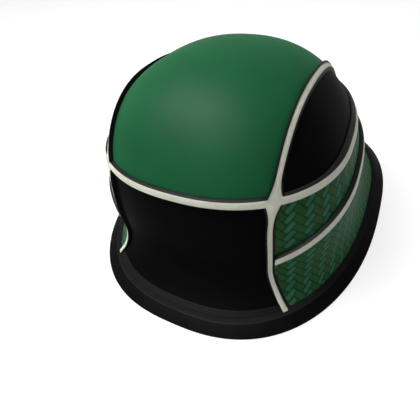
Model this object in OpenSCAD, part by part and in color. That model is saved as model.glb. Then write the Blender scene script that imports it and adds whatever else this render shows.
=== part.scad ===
// Sport helmet with a flared skirt and a rim all round, panelled shell, foam liner,
// dial fit band and chin strap. Millimetres. The rim stands on Z = 0, the front faces -Y
// and +X is the wearer's left. The origin is under the middle of the rim.

/* [Rim] */
// Width of the rim at its widest
brim_w = 260; // [252:2:270]
// Length of the rim from the brow to the nape
brim_l = 342; // [334:2:354]
// How far behind the middle the rim is widest
brim_back = 24; // [18:1:30]
// Squareness of the rim in plan, 2 is an ellipse
brim_exp = 2.5; // [2.3:0.1:2.7]
// Height of the rim's outer wall
rim_h = 7.5; // [6:0.5:9]
// How far the rim's top edge lies inside its bottom edge
rim_slope = 8.8; // [6:0.2:10]
// Width of the rim's flat top outside the panels
rim_top = 4.2; // [3:0.2:6]

/* [Dome] */
// Width of the dome above the skirt
dome_w = 213; // [207:1:219]
// Reach of the dome to the front of its centre
dome_front = 104; // [100:1:108]
// Reach of the dome to the rear of its centre
dome_rear = 152; // [148:1:156]
// Height of the crown above the table
dome_h = 167; // [162:1:174]
// Height at which the dome starts to close in
dome_base = 21; // [17:1:25]
// How far the dome's centre lies in front of the rim's middle
dome_ahead = 30.6; // [27:0.2:34]
// Forward lean of the dome, in millimetres for each millimetre of height
lean = 0.214; // [0.19:0.002:0.23]
// Squareness of the dome in plan
dome_exp = 2.3; // [2.2:0.05:2.4]
// Fullness of the dome in profile
dome_pow = 2.2; // [2.1:0.05:2.3]
// Height at which the skirt starts to flare
flare_top = 48; // [45:1:51]
// Sharpness of the flare's curve
flare_pow = 2; // [1.8:0.1:2.2]

/* [Layers] */
// Thickness of the outer panels
panel_t = 2.4; // [2:0.2:3]
// Bond line between the panels and the shell
panel_gap = 0.6; // [0.5:0.1:0.8]
// Thickness of the moulded shell
shell_t = 3; // [2.6:0.2:3.6]
// Thickness of the foam liner
liner_t = 13.4; // [11:0.2:15]
// Height of the foam liner's lower edge
liner_low = 40; // [38:1:43]
// Thickness of the comfort pads
pad_t = 6; // [4:0.5:7]

/* [Trim] */
// Height of the belt strip's centre line as a share of the crown's height
belt_share = 0.629; // [0.61:0.001:0.645]
// Width of the belt strip
belt_w = 5.4; // [5:0.2:6.4]
// Width of the crown and post strips
strip_w = 4; // [3.6:0.2:5]
// Distance from the middle to each crown strip
strip_x = 61.2; // [59:0.2:64]
// How much wider each side of a strip is where it meets the belt
fillet = 3.2; // [2.4:0.2:4]
// Distance from the middle to each post strip's foot as a share of the rim's half width
post_share = 0.6; // [0.58:0.005:0.62]
// How far each post strip bows outward on its way down
post_bow = 1.4; // [0:0.2:2]
// How far the belt, crown and post strips stand out
strip_out = 2.4; // [2:0.2:2.8]
// How far the rail stands out
rail_out = 3.2; // [2.6:0.2:3.6]
// Thickness of the light inlay on the strips
inlay_t = 0.8; // [0.6:0.1:1]
// Height of the rail strip's face
rail_w = 6.8; // [6:0.2:7.4]
// Height of the rail at its front ends as a share of the crown's height
rail_front_share = 0.332; // [0.32:0.002:0.35]
// Height of the rail at the temples as a share of the crown's height
rail_side_share = 0.488; // [0.46:0.002:0.49]
// Height of the rail at the nape as a share of the crown's height
rail_rear_share = 0.395; // [0.37:0.005:0.42]
// Height of the dark ledge above the belt at the rear
belt_ledge = 4.6; // [3:0.2:5]
// Height of that ledge at the front as a share of its height at the rear
ledge_share = 0.2; // [0.2:0.05:0.5]
// Height of the dark ledge above the rail
rail_ledge = 1.2; // [0.8:0.2:2]

/* [Strap] */
// Width of the webbing
web_w = 18; // [15:1:19]
// Thickness of the webbing
web_t = 1.6; // [1.2:0.2:2]
// Drop from the strap's pivot to the chin
strap_drop = 104; // [98:1:108]
// Height of the strap's pivot
pivot_z = 32; // [31:0.5:34]
// How far the strap's pivot lies in front of the middle
pivot_ahead = 8; // [4:1:12]
// How far the stowed strap dips toward the table
stow = 10.5; // [9:0.5:11]
// Radius of the anchor rivet
rivet_r = 3; // [2.5:0.1:3.4]
// Length of the buckle's socket
socket_l = 34; // [32:1:38]
// Travel of the toothed tongue out of the socket
tongue_travel = 24; // [20:1:24]

/* [Fit band] */
// Height of the dial's axis
dial_z = 22; // [20.5:0.5:23]
// Radius of the dial's knob
dial_r = 13; // [11:0.5:14]
// Gear module of the pinion and racks
gear_m = 1; // [0.95:0.01:1.05]
// Length of the dial housing
housing_l = 60; // [56:1:66]
// Travel of each rack
rack_travel = 12; // [9:0.5:12]

/* [Hidden] */

black = "#141414";
green = "#1f613b";
cream = "#d8d9cc";
cloth_green = "#25452b";
foam_grey = "#4a4a4c";
pad_grey = "#303234";
steel = "#9a9da0";

seam = 0.25; // clearance between trim and the panels beside it
seat = 0.3; // clearance of a piece on what carries it
$fn = 32;

// Offsets of each layer from the outer skin, negative is inward
skin_in = -panel_t;
shell_out = skin_in - panel_gap;
shell_in = shell_out - shell_t;
liner_out = shell_in - 0.6;
liner_in = liner_out - liner_t;
pad_out = liner_in - 0.6;

// Rim reach from its widest station and inset of the panels' feet
brim_half = brim_w / 2;
brim_front = brim_l / 2 + brim_back;
brim_rear = brim_l / 2 - brim_back;
foot_in = rim_slope + rim_top;

// Heights of the belt and the rail
belt_z = dome_h * belt_share;
rail_front = dome_h * rail_front_share;
rail_side = dome_h * rail_side_share;
rail_rear = dome_h * rail_rear_share;

shell_cols = 56;
shell_step = 360 / shell_cols;
dome_rows = 8;
band_cols = 44;

function mix(a, b, t) = a + (b - a) * t;
function clamp01(t) = max(0, min(1, t));
function ease(t) = let (c = clamp01(t)) c * c * (3 - 2 * c);
function keep_sign(v, k) = sign(v) * pow(abs(v), k);

// Share of the flare at a height: 0 on the dome, 1 at the rim
function flare(z) = pow(clamp01((flare_top - z) / (flare_top - rim_h)), flare_pow);
// How far up the dome a height is, and how much the plan has closed in there
function rise(z, d) = clamp01((z - dome_base) / (dome_h + d - dome_base));
function closing(z, d) = pow(1 - pow(rise(z, d), dome_pow), 1 / dome_pow);
// Plan of the skin at a height, offset outward by d: half width, front, rear, centre, squareness
function plan(z, d) = let (g = flare(z), s = closing(z, d)) [
  mix((dome_w / 2 + d) * s, brim_half - foot_in + d, g),
  mix((dome_front + d) * s, brim_front - foot_in + d, g),
  mix((dome_rear + d) * s, brim_rear - foot_in + d, g),
  mix(-dome_ahead - lean * (z - dome_base), brim_back, g),
  mix(dome_exp, brim_exp, g)];
// Point of the skin at an angle a round the helmet: 0 front, 90 wearer's left, 180 rear
function around(a, z, d) = let (q = plan(z, d), c = cos(a)) [
  q[0] * keep_sign(sin(a), 2 / q[4]),
  q[3] - (c > 0 ? q[1] : q[2]) * keep_sign(c, 2 / q[4]),
  z];
// Point of the skin at a distance x from the middle, in front (face 1) or behind (face -1)
function beside(x, z, d, face) = let (q = plan(z, d), k = q[0] <= abs(x) ? 1 : abs(x) / q[0]) [
  x, q[3] - face * (face > 0 ? q[1] : q[2]) * pow(1 - pow(k, q[4]), 1 / q[4]), z];
// Angle at which the skin is x from the middle
function angle_at(x, z, d) = let (q = plan(z, d)) asin(pow(min(1, x / q[0]), q[4] / 2));
// Height of the dome above a line that runs front to rear at x
function ridge(x, d) = dome_base + (dome_h + d - dome_base)
  * pow(1 - pow(abs(x) / (dome_w / 2 + d), dome_pow), 1 / dome_pow);
// Point on that line, s from 0 at its front end to 180 at its rear end
function over(x, s, z0, d) = beside(x, mix(z0, ridge(x, d), sin(s)), d, s < 90 ? 1 : -1);
// Middle of a post strip at a height
function post_x(z) = mix(strip_x, brim_half * post_share, flare(z))
  + post_bow * sin(180 * clamp01((z - 2 * rim_h) / (belt_z * 2 / 3)));
// Half width of a crown or post strip at a height, fuller beside the belt
fillet_reach = 15;
function strip_side(z) = strip_w / 2
  + fillet * pow(clamp01(1 - abs(z - belt_z) / fillet_reach), 2);
// Angle at a share t of the way from the left post round the rear to the right post
function lap(t, z, d, x) = let (a = angle_at(x, z, d)) mix(a, 360 - a, t);
// Height of the rail at a share t of that way
function rail_z(t) = let (u = min(t, 1 - t))
  rail_front + (rail_side - rail_front) * sin(90 * clamp01(u / 0.23))
  + (rail_rear - rail_side) * ease((u - 0.26) / 0.2);

function flat(rows) = [for (r = rows) for (p = r) p];

// Wall between two sheets of points given row by row, rows upward and columns to the
// right as seen from outside. ring joins the last column to the first. tips closes the
// top over the last row with an outer and an inner point.
module wall(outer, inner, ring = false, tips = []) {
  m = len(outer) - 1;
  c = len(outer[0]);
  n = ring ? c : c - 1;
  half = (m + 1) * c;
  top_o = 2 * half;
  top_i = top_o + 1;
  function o(i, j) = i * c + j % c;
  function q(i, j) = half + o(i, j);
  cells = m > 0 ? [for (i = [0:m - 1]) for (j = [0:n - 1]) each [
    [o(i, j), o(i + 1, j), o(i + 1, j + 1)],
    [o(i, j), o(i + 1, j + 1), o(i, j + 1)],
    [q(i, j), q(i + 1, j + 1), q(i + 1, j)],
    [q(i, j), q(i, j + 1), q(i + 1, j + 1)]]] : [];
  foot = [for (j = [0:n - 1]) each [
    [o(0, j), o(0, j + 1), q(0, j + 1)],
    [o(0, j), q(0, j + 1), q(0, j)]]];
  head = [for (j = [0:n - 1]) each tips == [] ? [
    [o(m, j + 1), o(m, j), q(m, j)],
    [o(m, j + 1), q(m, j), q(m, j + 1)]] : [
    [o(m, j), top_o, o(m, j + 1)],
    [q(m, j), q(m, j + 1), top_i]]];
  sides = ring || m == 0 ? [] : [for (i = [0:m - 1]) each [
    [o(i + 1, 0), o(i, 0), q(i, 0)],
    [o(i + 1, 0), q(i, 0), q(i + 1, 0)],
    [o(i, n), o(i + 1, n), q(i + 1, n)],
    [o(i, n), q(i + 1, n), q(i, n)]]];
  peak = ring || tips == [] ? [] : [
    [top_o, o(m, 0), q(m, 0)],
    [top_o, q(m, 0), top_i],
    [o(m, n), top_o, top_i],
    [o(m, n), top_i, q(m, n)]];
  polyhedron(concat(flat(outer), flat(inner), tips), concat(cells, foot, head, sides, peak));
}

// Closed hoop swept from sections, each a loop of points that runs the same way
module hoop(sections) {
  c = len(sections);
  k = len(sections[0]);
  function p(i, j) = (i % c) * k + j % k;
  polyhedron(flat(sections), [for (i = [0:c - 1]) for (j = [0:k - 1]) each [
    [p(i, j), p(i + 1, j + 1), p(i + 1, j)],
    [p(i, j), p(i, j + 1), p(i + 1, j + 1)]]]);
}

// Point of the rim at an angle, an inset from its bottom edge and a height
function rim_point(a, inset, z) = [
  (brim_half - inset) * keep_sign(sin(a), 2 / brim_exp),
  brim_back - ((cos(a) > 0 ? brim_front : brim_rear) - inset) * keep_sign(cos(a), 2 / brim_exp),
  z];

rim_lip = 2.4; // thickness of the rim's lip inside the shell
rim_floor = 1.6; // thickness of the rim under the shell's edge
slot_out = foot_in - shell_out - 0.2;
slot_in = foot_in - shell_in + 0.4;

// Rubber rim: slanted outer wall, flat top and a slot that grips the shell's edge
module brim() {
  profile = [
    [0.8, 0],
    [0, 0.8],
    [rim_slope - 0.4, rim_h - 0.4],
    [rim_slope + 0.4, rim_h],
    [slot_out, rim_h],
    [slot_out, rim_floor],
    [slot_in, rim_floor],
    [slot_in, rim_h],
    [slot_in + rim_lip, rim_h],
    [slot_in + rim_lip, 0]];
  color(black) hoop([for (i = [0:shell_cols - 1]) [for (p = profile)
    rim_point(i * shell_step, p[0], p[1])]]);
}

// Heights of a shell layer's rows, from its lower edge up to just below the crown
function layer_rows(low, d) = concat(low, [for (k = [0:dome_rows - 1])
  mix(flare_top, dome_h + d, sin(k * 90 / dome_rows))]);
function layer_sheet(low, d) = [for (z = layer_rows(low, d))
  [for (j = [0:shell_cols - 1]) around(j * shell_step, z, d)]];
function layer_tip(d) = [0, plan(dome_h + d, d)[3], dome_h + d];

// Moulded shell that carries the panels and sits in the rim's slot
module shell() {
  low = [rim_floor + 0.4, rim_h, mix(rim_h, flare_top, 0.17), mix(rim_h, flare_top, 0.36),
    mix(rim_h, flare_top, 0.58), mix(rim_h, flare_top, 0.8)];
  color("#1b1b1c") wall(layer_sheet(low, shell_out), layer_sheet(low, shell_in), true,
    [layer_tip(shell_out), layer_tip(shell_in)]);
}

// Foam liner inside the shell, open below
module foam_liner() {
  color(foam_grey) wall(layer_sheet([liner_low], liner_out), layer_sheet([liner_low], liner_in),
    true, [layer_tip(liner_out), layer_tip(liner_in)]);
}

// Stations of a course over the crown, close together beside the belt
half_course = [0, 3, 7, 12, 18, 26, 35, 45, 56, 67, 78];
course = concat(half_course, [90], [for (i = [len(half_course) - 1:-1:0]) 180 - half_course[i]]);
above_belt = belt_z + belt_w / 2 + seam;
below_belt = belt_z - belt_w / 2 - seam;
function course_z(s) = mix(above_belt, ridge(strip_x, 0), sin(s));

// Green panel over the crown, between the crown strips and the belt
module crown_panel() {
  function reach(s) = strip_x - strip_side(course_z(s)) - seam;
  function sheet(d) = [for (s = course) [for (j = [-7:7])
    over(j / 7 * reach(s), s, above_belt, d)]];
  color(green) wall(sheet(0), sheet(skin_in));
}

// Heights of the rows of the front panel and of the post strips
post_rows = [rim_h + seat, 11, 15, 20, 26, 33, 41, 50, 62, 76,
  below_belt - 14, below_belt - 9, below_belt - 4.5, below_belt];

// Black panel at the brow, between the posts, sweeping out to the rim
module front_panel() {
  function sheet(d) = [for (z = post_rows) [for (j = [-7:7])
    beside(j / 7 * (post_x(z) - strip_side(z) - seam), z, d, 1)]];
  color(black) wall(sheet(0), sheet(skin_in));
}

// Black panel above the belt at one side, 1 is the wearer's left
module side_panel(side) {
  rows = [0, 4, 9, 15, 22, 32, 44, 58, 74];
  x0 = strip_x + strip_w / 2 + seam;
  function row(z, d) = let (a = angle_at(strip_x + strip_side(z) + seam, z, d))
    [for (j = [0:12]) around(mix(a, 180 - a, j / 12), z, d)];
  function sheet(d) = [for (s = rows) row(mix(above_belt, ridge(x0, d), sin(s)), d)];
  function tip(d) = [x0, plan(ridge(x0, d), d)[3], ridge(x0, d)];
  color(black) mirror([side < 0 ? 1 : 0, 0, 0])
    wall(sheet(0), sheet(skin_in), false, [tip(0), tip(skin_in)]);
}

// Point k of a band that runs from the left post round the rear to the right post. The
// first and the last point lie on the band's own edges, the others are shared with the rail
rail_end = 1.4; // gap between a post strip and the rail's square end
stations = [-1:band_cols + 1];
function course_x(z) = post_x(z) + max(strip_side(z) + 2 * seam, strip_w / 2 + rail_end);
function band_point(k, z, d) = let (
  edge = k < 0 || k > band_cols,
  x = edge ? post_x(z) + strip_side(z) + seam : course_x(z))
  around(lap(clamp01(k / band_cols), z, d, x), z, d);
function band_row(low, high, share, d) = [for (k = stations)
  band_point(k, mix(low[k + 1], high[k + 1], share), d)];

rail_half = rail_w / 2;
rail_line = [for (k = stations) rail_z(clamp01(k / band_cols))];
rail_top = [for (z = rail_line) z + rail_half + seam];
rail_bottom = [for (z = rail_line) z - rail_half - seam];

// Woven covering between the belt and the rail
module upper_band() {
  top = [for (z = rail_line) below_belt];
  shares = [0, 0.35, 0.6, 0.75, 0.88, 1];
  function sheet(d) = [for (s = shares) band_row(rail_top, top, s, d)];
  color(cloth_green) wall(sheet(0), sheet(skin_in));
}

// Woven covering between the rail and the rim, sweeping outward
module lower_band() {
  foot = [for (z = rail_line) rim_h + seat];
  shares = [0, 0.09, 0.2, 0.34, 0.52, 0.76, 1];
  function sheet(d) = [for (s = shares) band_row(foot, rail_bottom, s, d)];
  color(cloth_green) wall(sheet(0), sheet(skin_in));
}

bond = 0.1; // glue line between an inlay and its carrier
inlay_in = 0.4; // how much narrower an inlay is on each side than its carrier
ledge_under = 0.5; // clearance of a ledge over the panel below it
ledge_edge = 0.3; // thickness of a ledge at its upper edge
ledge_join = 0.3; // how far a ledge's foot reaches into its carrier

// Closed belt strip between two offsets
module belt(half, back, face) {
  function row(z, d) = [for (j = [0:shell_cols - 1]) around(j * shell_step, z, d)];
  function sheet(d) = [row(belt_z - half, d), row(belt_z + half, d)];
  wall(sheet(face), sheet(back), true);
}

// Sloping ledge above the belt from angle a0 to a1, jointed midway between the belt's joints
module belt_slope(a0, a1) {
  foot = belt_z + belt_w / 2 - ledge_join;
  angles = concat(a0, [for (j = [ceil(a0 / shell_step):floor(a1 / shell_step) - 1])
    (j + 0.5) * shell_step], a1);
  function rise_at(a) = belt_ledge
    * mix(ledge_share, 1, ease((abs(a > 180 ? a - 360 : a) - 60) / 35));
  function low(d) = [for (a = angles) around(a, foot, d)];
  function high(d) = [for (a = angles) around(a, belt_z + belt_w / 2 + rise_at(a), d)];
  wall([low(strip_out - bond), high(ledge_under + ledge_edge)], [low(ledge_under), high(ledge_under)]);
}

// Black carrier of the belt strip, with ledges between the crown strips
module belt_trim() {
  clear = strip_side(above_belt) + 1;
  inner = angle_at(strip_x - clear, belt_z, 0);
  outer = angle_at(strip_x + clear, belt_z, 0);
  color(black) {
    belt(belt_w / 2, skin_in, strip_out - inlay_t);
    belt_slope(-inner, inner);
    belt_slope(outer, 180 - outer);
    belt_slope(180 - inner, 180 + inner);
    belt_slope(180 + outer, 360 - outer);
  }
}

// Light inlay of the belt strip
module belt_inlay() {
  color(cream) belt(belt_w / 2 - inlay_in, strip_out - inlay_t + bond, strip_out);
}

// Strip over the crown on one side, narrowed by an amount, between two offsets
module crown_strip(side, less, back, face) {
  function sheet(d) = [for (s = course) [for (k = [-1, 1])
    over(strip_x + k * (strip_side(course_z(s)) - less), s, above_belt, d)]];
  mirror([side < 0 ? 1 : 0, 0, 0]) wall(sheet(face), sheet(back));
}

// Black carrier of a crown strip
module crown_trim(side) {
  color(black) crown_strip(side, 0, skin_in, strip_out - inlay_t);
}

// Light inlay of a crown strip
module crown_inlay(side) {
  color(cream) crown_strip(side, inlay_in, strip_out - inlay_t + bond, strip_out);
}

// Strip from the belt down to the rim on one side, narrowed by an amount
module post_strip(side, less, back, face) {
  function sheet(d) = [for (z = post_rows) [for (k = [-1, 1])
    beside(post_x(z) + k * (strip_side(z) - less), z, d, 1)]];
  mirror([side < 0 ? 1 : 0, 0, 0]) wall(sheet(face), sheet(back));
}

// Black carrier of a post strip
module post_trim(side) {
  color(black) post_strip(side, 0, skin_in, strip_out - inlay_t);
}

// Light inlay of a post strip
module post_inlay(side) {
  color(cream) post_strip(side, inlay_in, strip_out - inlay_t + bond, strip_out);
}

// Rail that divides the bands, with square front ends clear of the posts
function rail_row(lift, d) = [for (k = [0:band_cols]) band_point(k, rail_line[k + 1] + lift, d)];
module rail(half, back, face) {
  wall([rail_row(-half, face), rail_row(half, face)], [rail_row(-half, back), rail_row(half, back)]);
}

// Black carrier of the rail, with its ledge
module rail_trim() {
  foot = rail_half - ledge_join;
  high = rail_half + rail_ledge;
  color(black) {
    rail(rail_half, skin_in, rail_out - inlay_t);
    wall([rail_row(foot, rail_out - bond), rail_row(high, ledge_under + ledge_edge)],
      [rail_row(foot, ledge_under), rail_row(high, ledge_under)]);
  }
}

// Light inlay of the rail
module rail_inlay() {
  color(cream) rail(rail_half - inlay_in, rail_out - inlay_t + bond, rail_out);
}

// Thickness of a cushion across its area: low at the edges, full in the middle, with
// sewn channels across its length
pad_edge = 1.2; // thickness of a cushion at its edge
channel_depth = 0.3; // depth of a sewn channel as a share of the cushion
function swell(u, power) = pow(max(0, 1 - pow(abs(2 * u - 1), power)), 0.6);
function puff(u, v, t, channels) = let (
  dip = channels > 0 ? channel_depth * pow(abs(cos(180 * channels * u)), 8) : 0)
  pad_edge + (t - pad_edge) * swell(u, 3.2) * swell(v, 2.6) * (1 - dip);

// Pad on the liner's inner face, from angle a0 to a1 and height z0 to z1
module liner_pad(a0, a1, z0, z1, channels) {
  cols = 14;
  rows = 5;
  back = [for (i = [0:rows]) [for (j = [0:cols])
    around(mix(a0, a1, j / cols), mix(z0, z1, i / rows), pad_out)]];
  face = [for (i = [0:rows]) [for (j = [0:cols])
    around(mix(a0, a1, j / cols), mix(z0, z1, i / rows),
      pad_out - puff(j / cols, i / rows, pad_t, channels))]];
  color(pad_grey) wall(back, face);
}

pad_low = liner_low + 2;
pad_high = liner_low + 26;

// Pad across the brow
module brow_pad() {
  liner_pad(-42, 42, pad_low, pad_high, 4);
}

// Pad at the back of the head
module rear_pad() {
  liner_pad(150, 210, pad_low, pad_high - 2, 4);
}

// Pad at one temple
module temple_pad(side) {
  middle = side * 96;
  liner_pad(middle - 26, middle + 26, pad_low, pad_high, 2);
}

// Round pad under the crown
module crown_pad() {
  cols = 28;
  spread = 0.42;  // radius as a share of the liner's half width
  function ring_z(s, d) = dome_base + (dome_h + d - dome_base)
    * pow(1 - pow(spread * s, dome_pow), 1 / dome_pow);
  function ring(s, d) = [for (j = [0:cols - 1]) around(j * 360 / cols, ring_z(s, d), d)];
  shares = [1, 0.86, 0.66, 0.42, 0.2];
  back = [for (s = shares) ring(s, pad_out)];
  face = [for (s = shares) ring(s, pad_out - puff(0.5 + s / 2, 0.5, pad_t, 0))];
  color(pad_grey) wall(back, face, true, [layer_tip(pad_out), layer_tip(pad_out - pad_t)]);
}

// Chin strap: its own frame has the pivot at the origin and the chin toward -Y
pivot_y = -pivot_ahead;
anchor_low = pivot_z - 10;
anchor_high = liner_low - 1.5;
anchor_w = 22;
anchor_t = 6;
rivet_bite = 3.9;  // depth of the rivet in its bracket
// Half width inside the shell at the bracket's rear end, less a bond line
function wall_x(z) = let (q = plan(z, shell_in), v = pivot_y + anchor_w / 2 - q[3])
  q[0] * pow(1 - pow(abs(v) / (v < 0 ? q[1] : q[2]), q[4]), 1 / q[4]) - seat - 0.1;
anchor_face = wall_x(anchor_high) - anchor_t;
loop_t = 2;
loop_out = anchor_face - 0.5;
loop_in = loop_out - loop_t;
web_x = loop_in - web_t / 2 - 0.05;

module strap_frame() {
  translate([0, pivot_y, pivot_z]) rotate([stow, 0, 0]) children();
}

// Bracket on the shell's inner wall that holds one end of the strap
module anchor(side) {
  color(black) mirror([side < 0 ? 1 : 0, 0, 0]) difference() {
    translate([0, pivot_y + anchor_w / 2, 0]) rotate([90, 0, 0]) linear_extrude(anchor_w)
      polygon([
        [anchor_face, anchor_low],
        [wall_x(anchor_low), anchor_low],
        [wall_x(anchor_high), anchor_high],
        [anchor_face, anchor_high]]);
    translate([anchor_face - 1, pivot_y, pivot_z]) rotate([0, 90, 0])
      cylinder(r = rivet_r + 0.02, h = rivet_bite + 1.1);
  }
}

// Rivets that the strap's end loops turn on
module anchor_rivets() {
  color(steel) for (side = [-1, 1]) mirror([side < 0 ? 1 : 0, 0, 0])
    translate([0, pivot_y, pivot_z]) rotate([0, 90, 0]) {
      translate([0, 0, loop_in - 0.5])
        cylinder(r = rivet_r, h = anchor_face + rivet_bite - loop_in + 0.5);
      translate([0, 0, loop_in - 2]) cylinder(r1 = rivet_r + 1, r2 = rivet_r + 3, h = 1.5);
    }
}

// Metal end loop of the strap, turning on the rivet
loop_l = 25;
loop_neck = 16; // distance from the rivet at which the loop has its full width
loop_rim = 1.8; // metal beside the webbing
loop_bar = 3; // metal beyond the slot
module strap_loop(side) {
  eye = rivet_r + 4;
  half = web_w / 2 + loop_rim;
  color(steel) strap_frame() mirror([side < 0 ? 1 : 0, 0, 0]) translate([loop_in, 0, 0])
    rotate([90, 0, 90]) linear_extrude(loop_t) difference() {
      union() {
        circle(r = eye);
        polygon([
          [0, -eye + 0.5],
          [0, eye - 0.5],
          [-loop_neck, half],
          [-loop_l, half],
          [-loop_l, -half],
          [-loop_neck, -half]]);
      }
      circle(r = rivet_r + 0.05);
      translate([loop_bar - loop_l, -web_w / 2 - slide_fit]) square([3, web_w + 2 * slide_fit]);
    }
}

// Course of the webbing in the strap's frame, from the loop to x_end on the chin line
bend_start = 24;
function web_course(x_end) = concat([[web_x, -11]], [for (i = [0:12]) let (a = i * 7.5) [
  x_end + 12 + (web_x - x_end - 12) * cos(a),
  -bend_start - (strap_drop - bend_start) * sin(a)]], [[x_end, -strap_drop]]);
function course_dir(c, i) = let (v = c[min(i + 1, len(c) - 1)] - c[max(i - 1, 0)]) v / norm(v);
function course_side(c, off) = [for (i = [0:len(c) - 1]) let (v = course_dir(c, i))
  c[i] + off * [-v[1], v[0]]];
function reversed(l) = [for (i = [len(l) - 1:-1:0]) l[i]];
module webbing(x_end) {
  c = web_course(x_end);
  translate([0, 0, -web_w / 2]) linear_extrude(web_w)
    polygon(concat(course_side(c, web_t / 2), reversed(course_side(c, -web_t / 2))));
}

socket_in = 5; // depth to which the webbing is held in the socket and the tongue
web_end = 0.5; // clearance of the webbing's end at the bottom of its slot
head_l = 19;
head_gap = 0.6; // gap between the tongue's head and the socket

// Webbing from the left loop to the socket
module strap_left() {
  color(black) strap_frame() webbing(socket_l - socket_in + web_end);
}

// Webbing from the right loop to the tongue
module strap_right() {
  color(black) strap_frame() mirror([1, 0, 0]) webbing(head_gap + head_l - socket_in + web_end);
}

blade_t = 2;
blade_w = 12;
blade_l = tongue_travel;
head_end = -head_gap - head_l;
slide_fit = 0.3; // clearance round the blade and the webbing's ends
buckle_half = 10; // half the buckle's height
lever_x = socket_l - 7;
lever_y = -7.6;
lever_half = 6.7;
pin_r = 1.25;
ear_z = 8.6;
ear_t = 2.8;
module chin_frame() {
  strap_frame() translate([0, -strap_drop, 0]) children();
}
// Block between two corners
module block(low, high) {
  translate(low) cube(high - low);
}
// Slot for a piece of a given thickness and width, from x0 to x1
module slot(x0, x1, t, w) {
  block([x0, -t / 2 - slide_fit, -w / 2 - slide_fit], [x1, t / 2 + slide_fit, w / 2 + slide_fit]);
}

// Buckle socket with the tongue's channel, a pawl window and ears for the lever's pin
module buckle_socket() {
  front = -5;
  window = blade_w / 2 - 0.8;
  saddle = lever_half + 0.2;
  color("#232425") chin_frame() difference() {
    union() {
      block([0, front, -buckle_half], [socket_l, 4, buckle_half]);
      for (s = [-1, 1]) translate([lever_x, lever_y, s * ear_z - ear_t / 2]) {
        translate([-3, 0, 0]) cube([6, front - lever_y + 0.1, ear_t]);
        cylinder(r = 3, h = ear_t);
      }
    }
    slot(-1, blade_l + 2, blade_t, blade_w);
    block([4, front - 1, -window], [14, 0, window]);
    slot(socket_l - socket_in, socket_l + 1, web_t, web_w);
    block([lever_x - 3.6, lever_y - 1.4, -saddle], [lever_x + 3.6, front + 0.6, saddle]);
    translate([lever_x, lever_y, -buckle_half - 1])
      cylinder(r = pin_r + 0.02, h = 2 * buckle_half + 2);
  }
}

// Toothed tongue and its head, which holds the right webbing
module buckle_tongue() {
  pitch = 3;
  color("#2a2b2c") chin_frame() difference() {
    union() {
      block([-head_gap - 1, -blade_t / 2, -blade_w / 2], [blade_l, blade_t / 2, blade_w / 2]);
      block([head_end, -3, -buckle_half], [-head_gap, 3, buckle_half]);
    }
    slot(head_end - 1, head_end + socket_in, web_t, web_w);
    for (i = [1:7]) translate([pitch * i, -blade_t / 2, 0]) rotate([0, 0, 45])
      cube([1, 1, blade_w + 2], center = true);
  }
}

// Release lever with its pawl and a bent finger tab
module release_lever() {
  back = lever_y - 1.4;
  reach = -2;
  color("#8d1f1c") chin_frame() difference() {
    union() {
      translate([lever_x, lever_y, -lever_half]) cylinder(r = 2.4, h = 2 * lever_half);
      block([reach, back, -lever_half], [lever_x, lever_y + 2.3, lever_half]);
      translate([reach, back, -lever_half]) rotate([0, 0, -30]) translate([-4, 0, 0])
        cube([5, 1.8, 2 * lever_half]);
      block([7, lever_y, -4.5], [9, -blade_t / 2 - 0.35, 4.5]);
    }
    translate([lever_x, lever_y, -lever_half - 1]) cylinder(r = pin_r + 0.05, h = 2 * lever_half + 2);
  }
}

// Pin of the release lever
module lever_pin() {
  color(steel) chin_frame() translate([lever_x, lever_y, -buckle_half])
    cylinder(r = pin_r, h = 2 * buckle_half);
}

// Padded chin rest behind the buckle
module chin_pad() {
  cols = 12;
  rows = 5;
  half = buckle_half + 1;
  function spot(i, j, t) = [mix(head_end - 1, socket_l, j / cols), 4 + seat + t,
    mix(-half, half, i / rows)];
  outer = [for (i = [0:rows]) [for (j = [0:cols]) spot(i, j, 0)]];
  inner = [for (i = [0:rows]) [for (j = [0:cols])
    spot(i, j, puff(j / cols, i / rows, 5.5, 3))]];
  color(pad_grey) chin_frame() wall(outer, inner);
}

// Fit band behind the nape. Its depths are counted from the liner's inner face
liner_back = around(180, liner_low, liner_in)[1];
plate_back = liner_back - 2.8;
plate_t = 3;
well_back = plate_back - plate_t;
well_front = well_back - 4;
cover_front = well_front - 3;
pitch_r = 4 * gear_m;
tooth_add = 0.7 * gear_m;
tooth_ded = 0.95 * gear_m;
rack_back = pitch_r + 4 * gear_m;
rail_h = rack_back + 0.3;
housing_half = rail_h + 3;
screw_r = 0.8;
screw_x = housing_l / 2 - 5;
screw_z = rail_h + 1.5;
axle_r = 2.5;
stub_r = 1.8;
module fit_frame() {
  translate([0, 0, dial_z]) children();
}
module at_screws() {
  for (sx = [-1, 1]) for (sz = [-1, 1]) translate([sx * screw_x, 0, sz * screw_z])
    rotate([90, 0, 0]) children();
}

// Housing and yoke: a plate with two rails, and a flange under the liner
module fit_yoke() {
  flange_top = liner_low - seat - dial_z;
  flange_half = 20;
  flange_t = 2.4;
  color("#26282a") fit_frame() difference() {
    union() {
      block([-housing_l / 2, well_back, -housing_half], [housing_l / 2, plate_back, housing_half]);
      for (z = [-housing_half, rail_h]) block([-housing_l / 2, well_front, z],
        [housing_l / 2, well_back + 0.01, z + housing_half - rail_h]);
      block([-flange_half, well_back, housing_half - 1], [flange_half, plate_back, flange_top]);
      block([-flange_half, well_back, flange_top - flange_t],
        [flange_half, liner_back + 9, flange_top]);
    }
    translate([0, plate_back + 1, 0]) rotate([90, 0, 0])
      cylinder(r = axle_r + 0.05, h = plate_t + 2);
    at_screws() translate([0, 0, 1 - plate_back]) cylinder(r = screw_r + 0.02, h = 12);
  }
}

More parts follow.
